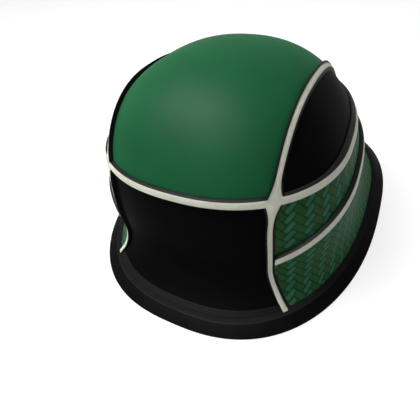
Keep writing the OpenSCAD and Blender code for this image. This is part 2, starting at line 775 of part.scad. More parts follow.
// Cover on the head side of the housing, with the dial's inner bearing
module fit_cover() {
  color("#2e3133") fit_frame() difference() {
    block([-housing_l / 2, cover_front, -housing_half], [housing_l / 2, well_front, housing_half]);
    translate([0, well_front + 1, 0]) rotate([90, 0, 0]) cylinder(r = stub_r + 0.05, h = 3);
    at_screws() translate([0, 0, -well_front - 1]) cylinder(r = screw_r + 0.1, h = 6);
  }
}

// Screws that hold the cover on
screw_bite = 3;
module fit_screws() {
  color(steel) fit_frame() at_screws() {
    translate([0, 0, -well_front - screw_bite])
      cylinder(r = screw_r, h = screw_bite + well_front - cover_front + 0.05);
    translate([0, 0, -cover_front]) cylinder(r1 = 1.4, r2 = 1.1, h = 0.6);
  }
}

// Involute pinion of eight teeth at a 30 degree pressure angle, thinned for backlash
pinion_n = 8;
press = 30;
base_r = pitch_r * cos(press);
tooth_half = (PI / 2 - 0.2) * gear_m / 2;
function roll(r) = let (a = acos(min(1, base_r / r))) tan(a) * 180 / PI - a;
function flank(r) = tooth_half / pitch_r * 180 / PI + roll(pitch_r) - roll(r);
function pinion_outline() = [for (k = [0:pinion_n - 1]) let (c = (k + 0.5) * 360 / pinion_n)
  each concat(
    [let (a = c - flank(base_r)) (pitch_r - tooth_ded - 0.1) * [cos(a), sin(a)]],
    [for (i = [0:4]) let (r = mix(base_r, pitch_r + tooth_add, i / 4), a = c - flank(r))
      r * [cos(a), sin(a)]],
    [for (i = [4:-1:0]) let (r = mix(base_r, pitch_r + tooth_add, i / 4), a = c + flank(r))
      r * [cos(a), sin(a)]],
    [let (a = c + flank(base_r)) (pitch_r - tooth_ded - 0.1) * [cos(a), sin(a)]])];

// Dial: fluted knob, axle and pinion in one piece
knob_l = 9;
module fit_dial() {
  knob_back = plate_back + 0.4;
  flutes = 16;
  color("#3a3d40") fit_frame() {
    translate([0, knob_back + knob_l, 0]) rotate([90, 0, 0]) linear_extrude(knob_l) difference() {
      circle(r = dial_r, $fn = 64);
      for (i = [0:flutes - 1]) rotate(i * 360 / flutes) translate([dial_r + 1, 0])
        circle(r = 2, $fn = 24);
    }
    translate([0, knob_back + 0.1, 0]) rotate([90, 0, 0])
      cylinder(r = axle_r, h = knob_back - well_back + 0.4);
    translate([0, well_back - 0.3, 0]) rotate([90, 0, 0]) linear_extrude(3.4)
      polygon(pinion_outline());
    translate([0, well_front + 0.4, 0]) rotate([90, 0, 0]) cylinder(r = stub_r, h = 2);
  }
}

// Rack with its band arm. The left one runs over the pinion, the right one under it
rack_teeth = floor((rack_travel + 14) / (PI * gear_m));
rack_t = 3.2;
arm_t = 1.8;
arm_h = 11;
arm_reach = 52;
function rack_tooth(x) = [
  [x - tooth_half - tooth_ded * tan(press), pitch_r + tooth_ded],
  [x - tooth_half + tooth_add * tan(press), pitch_r - tooth_add],
  [x + tooth_half - tooth_add * tan(press), pitch_r - tooth_add],
  [x + tooth_half + tooth_ded * tan(press), pitch_r + tooth_ded]];
module fit_rack(side) {
  step = PI * gear_m;
  x0 = -3 * step;
  x1 = housing_l / 2 + rack_travel + 2;
  bar = concat([[x0 - step / 2, rack_back], [x0 - step / 2, pitch_r + tooth_ded]],
    [for (i = [0:rack_teeth - 1]) each rack_tooth(x0 + i * step)],
    [[x1, pitch_r + tooth_ded], [x1, rack_back]]);
  arm = [for (i = [0:10]) let (a = i * 6.5)
    [x1 + (arm_reach - 8) * sin(a), well_front + 2 - arm_reach * (1 - cos(a))]];
  color("#2c2f31") fit_frame() rotate([0, side < 0 ? 180 : 0, 0]) {
    translate([0, well_back - 0.4, 0]) rotate([90, 0, 0]) linear_extrude(rack_t) polygon(bar);
    translate([0, 0, pitch_r + 0.5 - arm_h / 2]) linear_extrude(arm_h)
      polygon(concat(course_side(arm, arm_t / 2), reversed(course_side(arm, -arm_t / 2))));
  }
}

// Soft pad on the housing's cover, against the nape
module nape_pad() {
  cols = 12;
  rows = 5;
  function spot(i, j, t) = [mix(-housing_l / 2 + 3, housing_l / 2 - 3, j / cols),
    cover_front - 0.9 - t, mix(-housing_half, housing_half, i / rows)];
  outer = [for (i = [0:rows]) [for (j = [0:cols]) spot(i, j, 0)]];
  inner = [for (i = [0:rows]) [for (j = [0:cols])
    spot(i, j, puff(j / cols, i / rows, pad_t, 2))]];
  color(pad_grey) fit_frame() wall(inner, outer);
}

brim();
shell();
crown_panel();
front_panel();
side_panel(1);  // side_panel_left
side_panel(-1);  // side_panel_right
upper_band();
lower_band();
belt_trim();
belt_inlay();
crown_trim(1);  // crown_trim_left
crown_trim(-1);  // crown_trim_right
crown_inlay(1);  // crown_inlay_left
crown_inlay(-1);  // crown_inlay_right
post_trim(1);  // post_trim_left
post_trim(-1);  // post_trim_right
post_inlay(1);  // post_inlay_left
post_inlay(-1);  // post_inlay_right
rail_trim();
rail_inlay();
foam_liner();
brow_pad();
rear_pad();
temple_pad(1);  // temple_pad_left
temple_pad(-1);  // temple_pad_right
crown_pad();
anchor(1);  // anchor_left
anchor(-1);  // anchor_right
anchor_rivets();
strap_loop(1);  // strap_loop_left
strap_loop(-1);  // strap_loop_right
strap_left();
strap_right();
buckle_socket();
buckle_tongue();
release_lever();
lever_pin();
chin_pad();
fit_yoke();
fit_cover();
fit_dial();
fit_rack(1);  // fit_rack_left
fit_rack(-1);  // fit_rack_right
fit_screws();
nape_pad();
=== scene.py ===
import math
import bpy
from mathutils import Matrix, Vector


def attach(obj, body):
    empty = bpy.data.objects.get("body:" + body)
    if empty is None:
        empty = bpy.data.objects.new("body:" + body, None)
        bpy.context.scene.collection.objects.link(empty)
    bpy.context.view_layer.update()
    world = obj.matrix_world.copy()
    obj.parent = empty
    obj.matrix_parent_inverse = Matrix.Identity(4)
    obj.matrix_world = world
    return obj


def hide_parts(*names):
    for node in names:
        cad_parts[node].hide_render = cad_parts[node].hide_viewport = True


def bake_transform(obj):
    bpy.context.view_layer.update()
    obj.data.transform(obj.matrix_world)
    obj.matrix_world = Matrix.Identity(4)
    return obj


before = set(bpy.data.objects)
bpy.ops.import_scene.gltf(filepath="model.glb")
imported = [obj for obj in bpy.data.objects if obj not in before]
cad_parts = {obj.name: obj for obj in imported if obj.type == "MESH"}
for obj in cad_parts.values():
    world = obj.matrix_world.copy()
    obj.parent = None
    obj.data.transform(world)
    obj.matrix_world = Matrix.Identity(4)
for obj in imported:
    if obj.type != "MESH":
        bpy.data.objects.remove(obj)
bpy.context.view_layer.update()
mm = 0.001

# The helmet's own surface
# Sizes in millimetres. The rim stands on z = 0, the brow faces -y, +x is the wearer's left.
rim = {"width": 260, "length": 342, "back": 24, "squareness": 2.5, "height": 7.5,
       "slope": 8.8, "top": 4.2, "lip": 2.4, "floor": 1.6, "lapTop": 11.4, "lapOut": 0.4}
dome = {"width": 213, "front": 104, "rear": 152, "height": 167, "base": 21, "ahead": 30.6,
        "lean": 0.214, "squareness": 2.3, "fullness": 2.2, "flareTop": 48, "flarePower": 2}
layers = {"panel": 2.4, "bond": 0.6, "shell": 3.0, "liner": 13.4, "linerLow": 40}
trim = {"beltShare": 0.629, "belt": 5.4, "width": 4.0, "across": 61.2, "fillet": 3.2,
        "filletReach": 15, "postShare": 0.6, "postBow": 1.4, "out": 2.4, "railOut": 3.2,
        "inlay": 0.8, "railFace": 6.8, "railFront": 0.332, "railSide": 0.488, "railRear": 0.395,
        "railClimb": 0.23, "railLevel": 0.26, "railFall": 0.2,
        "beltLedge": 4.0, "ledgeShare": 0.2, "railLedge": 1.2, "railEnd": 1.4, "inlayIn": 0.4,
        "seam": 0.25, "seat": 0.3, "lipCrown": 1.05, "lipPost": 0.75,
        "lipRise": 0.45, "lipFoot": 16}

panelIn = -layers["panel"]
shellOut = panelIn - layers["bond"]
shellIn = shellOut - layers["shell"]
linerOut = shellIn - 0.6
linerIn = linerOut - layers["liner"]
padOut = linerIn - 0.6
rimHalf = rim["width"] / 2
rimFront = rim["length"] / 2 + rim["back"]
rimRear = rim["length"] / 2 - rim["back"]
footIn = rim["slope"] + rim["top"]
beltZ = dome["height"] * trim["beltShare"]
halfStrip = trim["width"] / 2
halfBelt = trim["belt"] / 2
seam = trim["seam"]
footZ = rim["height"] + trim["seat"]  # foot of the panels and bands


def mix(a, b, t):
    return a + (b - a) * t


def clamp01(t):
    return max(0.0, min(1.0, t))


def ease(t):
    t = clamp01(t)
    return t * t * (3 - 2 * t)


def keepSign(value, power):
    return math.copysign(abs(value) ** power, value)


def sinOf(degrees):
    return math.sin(math.radians(degrees))


def cosOf(degrees):
    return math.cos(math.radians(degrees))


def flare(z):  # 0 on the dome, 1 at the rim
    top = dome["flareTop"]
    return clamp01((top - z) / (top - rim["height"])) ** dome["flarePower"]


def closing(z, d):
    rise = clamp01((z - dome["base"]) / (dome["height"] + d - dome["base"]))
    return (1 - rise ** dome["fullness"]) ** (1 / dome["fullness"])


def plan(z, d):  # half width, front, rear, centre, squareness of the skin at a height
    g, s = flare(z), closing(z, d)
    return (mix((dome["width"] / 2 + d) * s, rimHalf - footIn + d, g),
            mix((dome["front"] + d) * s, rimFront - footIn + d, g),
            mix((dome["rear"] + d) * s, rimRear - footIn + d, g),
            mix(-dome["ahead"] - dome["lean"] * (z - dome["base"]), rim["back"], g),
            mix(dome["squareness"], rim["squareness"], g))


def around(angle, z, d):  # 0 front, 90 wearer's left, 180 rear; d is outward
    half, front, rear, centre, n = plan(z, d)
    s, c = sinOf(angle), cosOf(angle)
    return (half * keepSign(s, 2 / n),
            centre - (front if c > 0 else rear) * keepSign(c, 2 / n), z)


def beside(x, z, d, face):  # at a distance x from the middle, in front or behind
    half, front, rear, centre, n = plan(z, d)
    k = min(1.0, abs(x) / max(half, 1e-6))
    return (x, centre - face * (front if face > 0 else rear) * (1 - k ** n) ** (1 / n), z)


def angleAt(x, z, d):
    half, n = plan(z, d)[::4]
    return math.degrees(math.asin(min(1.0, x / half) ** (n / 2)))


def ridge(x, d):  # height of the dome over a line that runs front to rear
    p = dome["fullness"]
    return dome["base"] + (dome["height"] + d - dome["base"]) * (
        1 - min(1.0, abs(x) / (dome["width"] / 2 + d)) ** p) ** (1 / p)


def over(x, s, z0, d):  # along that line, s from 0 in front to 180 behind
    return beside(x, mix(z0, ridge(x, d), sinOf(s)), d, 1 if s < 90 else -1)


def postX(z):
    bow = trim["postBow"] * math.sin(math.pi * clamp01((z - 2 * rim["height"]) / (beltZ * 2 / 3)))
    return mix(trim["across"], rimHalf * trim["postShare"], flare(z)) + bow


def stripSide(z):  # half width of a strip, fuller beside the belt
    return halfStrip + trim["fillet"] * clamp01(1 - abs(z - beltZ) / trim["filletReach"]) ** 2


def railZ(t):
    u = min(t, 1 - t)
    front, side, rear = (dome["height"] * trim[k] for k in ("railFront", "railSide", "railRear"))
    return (front + (side - front) * sinOf(90 * clamp01(u / trim["railClimb"]))
            + (rear - side) * ease((u - trim["railLevel"]) / trim["railFall"]))


def courseX(z):
    return postX(z) + max(stripSide(z) + 2 * seam, halfStrip + trim["railEnd"])


def onBand(t, z, d, edge=False):  # t from the left post round the rear to the right post
    a = angleAt(postX(z) + stripSide(z) + seam if edge else courseX(z), z, d)
    return around(mix(a, 360 - a, clamp01(t)), z, d)


def rimPoint(angle, inset, z):
    s, c = sinOf(angle), cosOf(angle)
    p = 2 / rim["squareness"]
    return ((rimHalf - inset) * keepSign(s, p),
            rim["back"] - ((rimFront if c > 0 else rimRear) - inset) * keepSign(c, p), z)


# Modelling helpers
def deselectAll():
    bpy.ops.object.select_all(action="DESELECT")


def pick(piece):
    deselectAll()
    piece.select_set(True)
    bpy.context.view_layer.objects.active = piece
    return piece


def added(operator, name, **settings):
    # the object that one of Blender's add operators makes
    deselectAll()
    operator(**settings)
    piece = bpy.context.active_object
    piece.name = piece.data.name = name
    return piece


def startGrid(name, across, along, place):
    # a grid whose vertices go where place(u, v) says, with its map laid out in metres: along the
    # middle row, and from there up and down with the slant of each column taken into account
    piece = added(bpy.ops.mesh.primitive_grid_add, name, x_subdivisions=across,
                  y_subdivisions=along, size=1)
    cells = {}
    for vertex in piece.data.vertices:
        i, j = round((vertex.co.x + 0.5) * across), round((vertex.co.y + 0.5) * along)
        vertex.co = Vector(place(i / across, j / along)) * mm
        cells[i, j] = vertex
    middle = along // 2
    run = [0.0]
    for i in range(across):
        run.append(run[-1] + (cells[i + 1, middle].co - cells[i, middle].co).length)
    spot = {}
    for i in range(across + 1):
        for step, rows in ((1, range(middle, along)), (-1, range(middle, 0, -1))):
            slip, climb = run[i], 0.0
            spot[i, middle] = (slip, climb)
            for j in rows:
                row = cells[min(i + 1, across), j].co - cells[max(i - 1, 0), j].co
                move = cells[i, j + step].co - cells[i, j].co
                aside = move.dot(row.normalized())
                slip += aside
                climb += step * math.sqrt(max(move.length_squared - aside * aside, 0))
                spot[i, j + step] = (slip, climb)
    start = spot[0, 0][1]
    laid = {cells[key].index: (slip, climb - start) for key, (slip, climb) in spot.items()}
    layer = piece.data.uv_layers.active
    for loop in piece.data.loops:
        layer.data[loop.index].uv = laid[loop.vertex_index]
    return piece


def weld(piece, fill=False, outward=False):
    pick(piece)
    bpy.ops.object.mode_set(mode="EDIT")
    bpy.ops.mesh.select_all(action="SELECT")
    bpy.ops.mesh.remove_doubles(threshold=2e-6)
    if fill:
        bpy.ops.mesh.select_all(action="SELECT")
        bpy.ops.mesh.fill_holes(sides=0)
    if outward:
        bpy.ops.mesh.select_all(action="SELECT")
        bpy.ops.mesh.normals_make_consistent(inside=False)
    bpy.ops.object.mode_set(mode="OBJECT")
    return piece


def shape(piece, kind, **settings):
    pick(piece)
    modifier = piece.modifiers.new(kind.title(), kind)
    for key, value in settings.items():
        setattr(modifier, key, value)
    bpy.ops.object.modifier_apply(modifier=modifier.name)
    return piece


def smooth(piece, angle=32):
    pick(piece)
    bpy.ops.object.shade_smooth_by_angle(angle=math.radians(angle))
    return piece


def easeEdges(piece, edge, segments=3, angle=38):
    return shape(piece, "BEVEL", width=edge * mm, segments=segments, limit_method="ANGLE",
                 angle_limit=math.radians(angle))


def thicken(piece, thickness, edge, segments=3):
    # a wall inward from the face, with its edges eased
    shape(piece, "SOLIDIFY", thickness=thickness * mm, offset=-1, use_even_offset=True,
          use_quality_normals=True)
    return smooth(easeEdges(piece, edge, segments))


def loft(name, along, section, place, closed=False, edge=0.3):
    # a bar swept through sections; place(u, k) gives corner k of the section at a share u
    piece = startGrid(name, along, section, lambda u, v: place(u, round(v * section) % section))
    weld(piece, fill=not closed, outward=True)
    if edge:
        easeEdges(piece, edge, 2)
    return smooth(piece)


def dress(piece, material, body, slot, *nodes):
    piece.data.materials.clear()
    piece.data.materials.append(material)
    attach(piece, body)
    if nodes:
        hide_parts(*nodes)
    return piece


def refine(node, edge, material, body, slot, name=None):
    # a copy of a CAD solid, merged and cleaned, with its edges eased
    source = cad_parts[node]
    piece = source.copy()
    piece.data = source.data.copy()
    piece.name = piece.data.name = name or node + "_body"
    piece.parent = None
    piece.matrix_world = Matrix.Identity(4)
    for key in list(piece.keys()):
        del piece[key]
    bpy.context.scene.collection.objects.link(piece)
    piece.data.materials.clear()
    if piece.data.has_custom_normals:
        pick(piece)
        bpy.ops.mesh.customdata_custom_splitnormals_clear()
    weld(piece)
    shape(piece, "DECIMATE", decimate_type="DISSOLVE", angle_limit=math.radians(2))
    easeEdges(piece, edge, 2, 30)
    return dress(smooth(piece, 40), material, body, slot, node)


# Materials
def hexColour(text):
    def linear(v):
        return v / 12.92 if v <= 0.04045 else ((v + 0.055) / 1.055) ** 2.4
    return tuple(linear(int(text[i:i + 2], 16) / 255) for i in (1, 3, 5)) + (1.0,)


paint = {}  # node tree, shader and coordinates of the material in hand


def link(source, socket):  # from a socket, or from a node's first output
    paint["tree"].links.new(getattr(source, "outputs", (source,))[0], socket)


def addNode(kind, inputs=None, stops=(), **settings):
    # one node with its settings; an input is linked where it is given as a node or a socket
    node = paint["tree"].nodes.new("ShaderNode" + kind)
    for key, value in settings.items():
        setattr(node, key, value)
    for key, value in (inputs or {}).items():
        if isinstance(value, (bpy.types.Node, bpy.types.NodeSocket)):
            link(value, node.inputs[key])
        else:
            node.inputs[key].default_value = value
    for k, (place, colour) in enumerate(stops):
        elements = node.color_ramp.elements
        element = elements[k] if k < len(elements) else elements.new(place)
        element.position, element.color = place, hexColour(colour)
    return node


shaderSockets = {"roughness": "Roughness", "metallic": "Metallic", "ior": "IOR",
                 "specular": "Specular IOR Level", "sheen": "Sheen Weight",
                 "sheenRoughness": "Sheen Roughness"}


def startMaterial(name, woven=False, **values):
    # a material with its shader's constants set, drawn in woven or in object coordinates
    material = bpy.data.materials.new(name)
    material.use_nodes = True
    paint["tree"] = material.node_tree
    paint["shader"] = material.node_tree.nodes["Principled BSDF"]
    for key, value in values.items():
        paint["shader"].inputs[shaderSockets[key]].default_value = value
    paint["source"] = addNode("UVMap") if woven else addNode("TexCoord").outputs["Object"]
    return material


def plug(source, name):
    link(source, paint["shader"].inputs[name])


def pattern(kind, size, inputs=None, **settings):  # its features have a size in millimetres
    where = {"Vector": paint["source"], "Scale": 1 / (size * mm)}
    return addNode(kind, {**where, **(inputs or {})}, **settings)


def cloudy(size, detail):
    return pattern("TexNoise", size, {"Detail": detail})


def ranged(value, low, high, toLow=0.0, toHigh=1.0, **settings):
    return addNode("MapRange", {"Value": value, "From Min": low, "From Max": high,
                                "To Min": toLow, "To Max": toHigh}, **settings)


def calc(operation, *values):
    return addNode("Math", dict(enumerate(values)), operation=operation)


def coloured(value, *stops):
    ramp = addNode("ValToRGB", {"Fac": value}, stops)
    plug(ramp, "Base Color")
    return ramp


def relief(height, depth, strength=1.0):  # bump of a real depth in millimetres
    plug(addNode("Bump", {"Height": height, "Distance": depth * mm, "Strength": strength}),
         "Normal")


def toned(dark, light, size, rough=None, detail=3.0):
    # slow change of tone over the surface, and of gloss where rough gives its two ends
    cloud = cloudy(size, detail)
    if rough:
        plug(ranged(cloud, 0.3, 0.7, *rough), "Roughness")
    return coloured(cloud, (0.32, dark), (0.68, light))


def makeLacquer(name, dark, light, rough, specular):
    # sprayed silk lacquer on moulded ABS: an even deep colour, one broad soft highlight and
    # a faint orange peel
    material = startMaterial(name, ior=1.36, specular=specular)
    toned(dark, light, 60, rough)
    relief(cloudy(2.2, 1.0), 0.012)
    return material


def makeMoulded(name, dark, light, rough, size, depth, specular=0.35):
    # injection moulded plastic with a spark eroded grain: satin, slightly uneven in tone
    material = startMaterial(name, ior=1.5, specular=specular)
    toned(dark, light, 22, rough)
    relief(cloudy(size, 3.0), depth)
    return material


greenLacquer = makeLacquer("crown_lacquer_green", "#185836", "#1c623b", (0.55, 0.6), 0.04)
blackLacquer = makeLacquer("panel_lacquer_black", "#09090a", "#0c0c0d", (0.46, 0.54), 0.008)
trimPlastic = makeMoulded("trim_abs_satin", "#1f1f20", "#282829", (0.45, 0.58), 0.7, 0.012, 0.02)
shellPlastic = makeMoulded("shell_abs_grained", "#161617", "#1f1f21", (0.55, 0.7), 1.4, 0.06)
bracketPlastic = makeMoulded("bracket_nylon", "#222426", "#2a2c2e", (0.45, 0.6), 0.8, 0.02)
bucklePlastic = makeMoulded("buckle_acetal", "#1d1e1f", "#262728", (0.38, 0.5), 0.6, 0.012)
dialPlastic = makeMoulded("dial_abs_grey", "#35383b", "#404346", (0.42, 0.55), 0.7, 0.015)
rackPlastic = makeMoulded("rack_nylon", "#282b2d", "#313436", (0.4, 0.5), 0.8, 0.01)
leverPlastic = makeMoulded("lever_abs_red", "#861c19", "#96231f", (0.32, 0.42), 0.6, 0.01)
bindingTape = makeMoulded("binding_folded_tape", "#141516", "#222325", (0.75, 0.9), 0.6, 0.05, 0.2)

# extruded EPDM edging: black wall with a fine matt bloom, its flat top painted dark grey as painted
# light from above
rubber = startMaterial("rim_epdm_rubber", ior=1.4, specular=0.015)
wall = toned("#080808", "#0c0c0c", 14, (0.45, 0.6), 4.0)
rise = addNode("SeparateXYZ", {"Vector": paint["source"]}).outputs["Z"]
# painted light: the flat top is painted a lighter grey, as if lit from above, over the black wall
litTopMask = ranged(rise, (rim["height"] - 0.6) * mm, (rim["height"] - 0.2) * mm)
paintedLitTop = addNode("Mix", {"Factor": litTopMask, 6: wall, 7: hexColour("#1e1e1f")}, data_type="RGBA")
plug(paintedLitTop.outputs[2], "Base Color")
relief(cloudy(0.8, 4.0), 0.02)

# cream vinyl strip: satin, with a soft leather-like emboss and slightly soiled patches
inlayVinyl = startMaterial("inlay_vinyl_cream", ior=1.5, specular=0.05)
toned("#dcdecc", "#e8ead9", 9, (0.42, 0.56), 5.0)
relief(pattern("TexVoronoi", 1.1), 0.02, 0.5)

weave = {"tape": 5.2, "slant": 56, "thread": 1.3, "patch": 9}


def makeWeave():
    # coated canvas of flat tapes woven on the slant, two over and two under, in grey-green and
    # olive over a dark green ground that shows between them, darkened toward the tape edges and
    # where the tapes pass under as painted shade, with a fine thread relief
    material = startMaterial("band_coated_canvas", True, ior=1.48, specular=0.03)
    pitch = weave["tape"] * mm
    turned = addNode("Mapping", {"Vector": paint["source"], "Scale": (1 / pitch, 1 / pitch, 1),
                                 "Rotation": (0, 0, math.radians(weave["slant"]))})
    axes = addNode("SeparateXYZ", {"Vector": turned})
    p, q = axes.outputs["X"], axes.outputs["Y"]
    beat = calc("FLOORED_MODULO", calc("ADD", calc("FLOOR", p), calc("FLOOR", q)), 4.0)
    over = calc("LESS_THAN", beat, 1.5)

    def choose(isUnder, isOver):
        return addNode("Mix", {"Factor": over, 2: isUnder, 3: isOver})
    partP, partQ = calc("FRACT", p), calc("FRACT", q)
    across = choose(partQ, partP)
    along = choose(calc("ADD", calc("SUBTRACT", beat, 2.0), partP), calc("ADD", beat, partQ))
    side = calc("ABSOLUTE", calc("SUBTRACT", calc("MULTIPLY", across, 2.0), 1.0))
    end = calc("ABSOLUTE", calc("SUBTRACT", along, 1.0))
    crown = calc("MULTIPLY", calc("SUBTRACT", 1.0, calc("POWER", side, 2.5)),
                 calc("SUBTRACT", 1.0, calc("POWER", end, 6.0)))
    tapes = addNode("Mix", {"Factor": over, 6: hexColour("#35552a"), 7: hexColour("#3d6c4f")},
                    data_type="RGBA")
    bare = ranged(crown, 0.5, 0.72, interpolation_type="SMOOTHSTEP")  # narrower than the pitch
    # dark green between the tapes, with painted shade that darkens it toward the tape edges and
    # where the tapes pass under
    groundAndGapShade = addNode("ValToRGB", {"Fac": crown}, ((0.0, "#0e361f"), (0.45, "#18583a")))
    tapesOverShadedGround = addNode("Mix", {"Factor": bare, 6: groundAndGapShade, 7: tapes.outputs[2]}, data_type="RGBA")
    cloud = cloudy(weave["patch"], 4.0)  # the coating takes unevenly
    depth = ranged(cloud, 0.3, 0.7, 0.75, 1.15)
    plug(addNode("HueSaturation", {"Color": tapesOverShadedGround.outputs[2], "Value": depth}), "Base Color")
    plug(ranged(cloud, 0.3, 0.7, 0.42, 0.56), "Roughness")
    warp, weft = (pattern("TexWave", 3.14 * weave["thread"], bands_direction=way).outputs["Fac"]
                  for way in "XY")
    relief(calc("ADD", crown, calc("MULTIPLY", calc("MAXIMUM", warp, weft), 0.12)), 0.3, 0.6)
    return material


bandCanvas = makeWeave()

# expanded bead foam: dark grey beads about 3 mm across, pressed flat, with pinched joints
beadFoam = startMaterial("liner_bead_foam", ior=1.45, specular=0.25, roughness=0.85)
beads = pattern("TexVoronoi", 3.2, feature="DISTANCE_TO_EDGE")
coloured(beads, (0.0, "#1d1e20"), (0.12, "#38393b"), (0.5, "#434446"))
relief(ranged(beads, 0, 0.25), 0.25, 0.7)

# brushed knit over foam: matt, with a soft sheen and fine ribs about 1.4 mm apart
padCloth = startMaterial("pad_brushed_knit", ior=1.45, specular=0.2, roughness=0.9, sheen=0.35,
                         sheenRoughness=0.5)
cloud = cloudy(1.6, 5.0)
coloured(cloud, (0.3, "#26282a"), (0.7, "#3a3d40"))
ribs = pattern("TexWave", 3.14 * 1.4, {"Distortion": 1.2, "Detail": 2.0}, bands_direction="Z")
relief(calc("ADD", ribs.outputs["Fac"], cloud), 0.12, 0.6)

# woven polyester webbing: chevron ribs 2.4 mm apart along the band, with a low sheen
webbingCloth = startMaterial("strap_polyester_webbing", True, ior=1.5, specular=0.3,
                             roughness=0.7, sheen=0.15, sheenRoughness=0.4)
split = addNode("SeparateXYZ", {"Vector": paint["source"]})
slant = calc("ADD", split.outputs["X"], calc("PINGPONG", split.outputs["Y"], 4.5 * mm))
ridges = ranged(calc("SINE", calc("MULTIPLY", slant, 2 * math.pi / (2.4 * mm))), -1, 1)
coloured(ridges, (0.0, "#0b0b0c"), (0.6, "#1a1a1c"), (1.0, "#252628"))
relief(ridges, 0.2, 0.6)

# bonded polyester thread: twisted, pale, with a slight sheen
thread = startMaterial("stitch_thread", ior=1.5, specular=0.4)
toned("#7d7f78", "#a3a59c", 0.8, (0.4, 0.6))

# brushed stainless steel: fine lines of lighter and duller metal
steel = startMaterial("fitting_brushed_steel", metallic=1.0)
lines = addNode("Mapping", {"Vector": paint["source"], "Scale": (40.0, 1.0, 1.0)})
streaks = addNode("TexNoise", {"Vector": lines, "Scale": 60.0, "Detail": 4.0})
coloured(streaks, (0.3, "#8f9295"), (0.7, "#b4b7b9"))
plug(ranged(streaks, 0, 1, 0.22, 0.45), "Roughness")
print("materials ready")


# Rim and shell
def rounded(corners, steps=4):
    # a closed outline of (a, b, radius) corners with each corner turned on its radius
    outline, count = [], len(corners)
    for k, (a, b, r) in enumerate(corners):
        here = Vector((a, b))
        before = Vector(corners[k - 1][:2]) - here
        after = Vector(corners[(k + 1) % count][:2]) - here
        if r <= 0:
            outline.append((a, b))
            continue
        turn = before.angle(after)
        reach = min(r / math.tan(turn / 2), before.length * 0.49, after.length * 0.49)
        p, q = here + before.normalized() * reach, here + after.normalized() * reach
        for i in range(steps + 1):
            t = i / steps
            outline.append(tuple((1 - t) ** 2 * p + 2 * t * (1 - t) * here + t * t * q))
    return outline


def makeRim():
    # profile as (inward, up, radius) corners, with a slot that takes the foot of the shell
    top, slotOut, slotIn = rim["height"], footIn - shellOut - 0.2, footIn - shellIn + 0.4
    lip = slotIn + rim["lip"]
    profile = rounded([(1.1, 0, 0.8), (0, 1.0, 1.0), (rim["slope"] - 0.3, top - 0.35, 0.7),
                       (rim["slope"] + 0.3, top, 0.5), (slotOut, top, 0.4),
                       (slotOut, rim["floor"], 0), (slotIn, rim["floor"], 0),
                       (slotIn, top, 0.5), (lip, top, 0.9), (lip, 0, 0.8)])
    count = len(profile)
    piece = startGrid("rim_edging", 240, count,
                      lambda u, v: rimPoint(360 * u, *profile[round(v * count) % count]))
    return smooth(weld(piece), 50)


dress(makeRim(), rubber, "helmet", "rim_rubber", "brim")


def makeBowl(name, low, out, inside, lip):
    # closed wall open below: down the inner face, round its lower edge and up the outer face
    rows, flareRows, knee = 30, 0.35, dome["flareTop"]

    def rowZ(share, d):
        if low < knee:
            if share < flareRows:
                return mix(low + lip, knee, share / flareRows)
            share = (share - flareRows) / (1 - flareRows)
        return mix(max(low + lip, knee), dome["height"] + d, sinOf(90 * share))
    path = [(rowZ(1 - k / rows, inside), inside) for k in range(rows + 1)]
    path += [(low + lip * (1 - sinOf(t)), mix(inside, out, (1 - cosOf(t)) / 2))
             for t in range(30, 180, 30)]
    path += [(rowZ(k / rows, out), out) for k in range(rows + 1)]
    count = len(path) - 1
    piece = startGrid(name, 144, count, lambda u, v: around(360 * u, *path[round(v * count)]))
    return smooth(weld(piece), 50)


dress(makeBowl("shell_bowl", rim["floor"] + 0.4, shellOut, shellIn, 0.6), shellPlastic,
      "helmet", "shell_black", "shell")
print("rim and shell done")

# Outer panels
aboveBelt = beltZ + halfBelt + seam
belowBelt = beltZ - halfBelt - seam
panelEdge = 0.45


def courseZ(s):
    return mix(aboveBelt, ridge(trim["across"], 0), sinOf(s))


def courseShare(v):  # shares of the course over the crown, closer together beside the belt
    t = 2 * v - 1
    return 90 + 90 * math.copysign(1 - (1 - abs(t)) ** 1.5, t)


def makeCrownPanel():
    def place(u, v):
        s = courseShare(v)
        reach = trim["across"] - stripSide(courseZ(s)) - seam
        return over(mix(-reach, reach, u), s, aboveBelt, 0)
    return thicken(startGrid("panel_crown", 60, 120, place), layers["panel"], panelEdge)


def browSheet(name, across, along, top, gap, d):
    # a sheet between the posts, from the rim up to a height
    def place(u, v):
        z = mix(footZ, top, v)
        reach = postX(z) - stripSide(z) - seam - gap
        return beside(mix(-reach, reach, u), z, d, 1)
    return startGrid(name, across, along, place)


def makeSidePanel(name, side):
    x0 = trim["across"] + halfStrip + seam

    def place(u, v):
        z = mix(aboveBelt, ridge(x0, 0), sinOf(90 * v))
        if v > 0.9999:  # the top row is one point
            return (side * x0, plan(z, 0)[3], z)
        a = angleAt(trim["across"] + stripSide(z) + seam, z, 0)
        x, y, z = around(mix(a, 180 - a, u if side > 0 else 1 - u), z, 0)
        return (side * x, y, z)
    return thicken(weld(startGrid(name, 64, 36, place)), layers["panel"], panelEdge)


# the edging's upper flange, lapped over the foot of the brow panel
dress(thicken(browSheet("rim_edging_lap", 72, 6, rim["lapTop"], 0.2, rim["lapOut"]),
              rim["lapOut"] + 0.3, 0.2, 2), rubber, "helmet", "rim_rubber")
dress(makeCrownPanel(), greenLacquer, "helmet", "panel_green", "crown_panel")
dress(thicken(browSheet("panel_front", 64, 64, belowBelt, 0, 0), layers["panel"], panelEdge),
      blackLacquer, "helmet", "panel_black", "front_panel")
sides = ((1, "left"), (-1, "right"))
for side, word in sides:
    dress(makeSidePanel("panel_side_" + word, side), blackLacquer, "helmet", "panel_black",
          "side_panel_" + word)


def makeBand(name, low, high, along):
    cells = 216  # between the band's own edges, one narrow cell stands at each end

    def place(u, v):
        i = round(u * (cells + 2))
        t = clamp01((i - 1) / cells)
        return onBand(t, mix(low(t), high(t), v), 0, i in (0, cells + 2))
    return thicken(startGrid(name, cells + 2, along, place), layers["panel"], 0.35, 2)


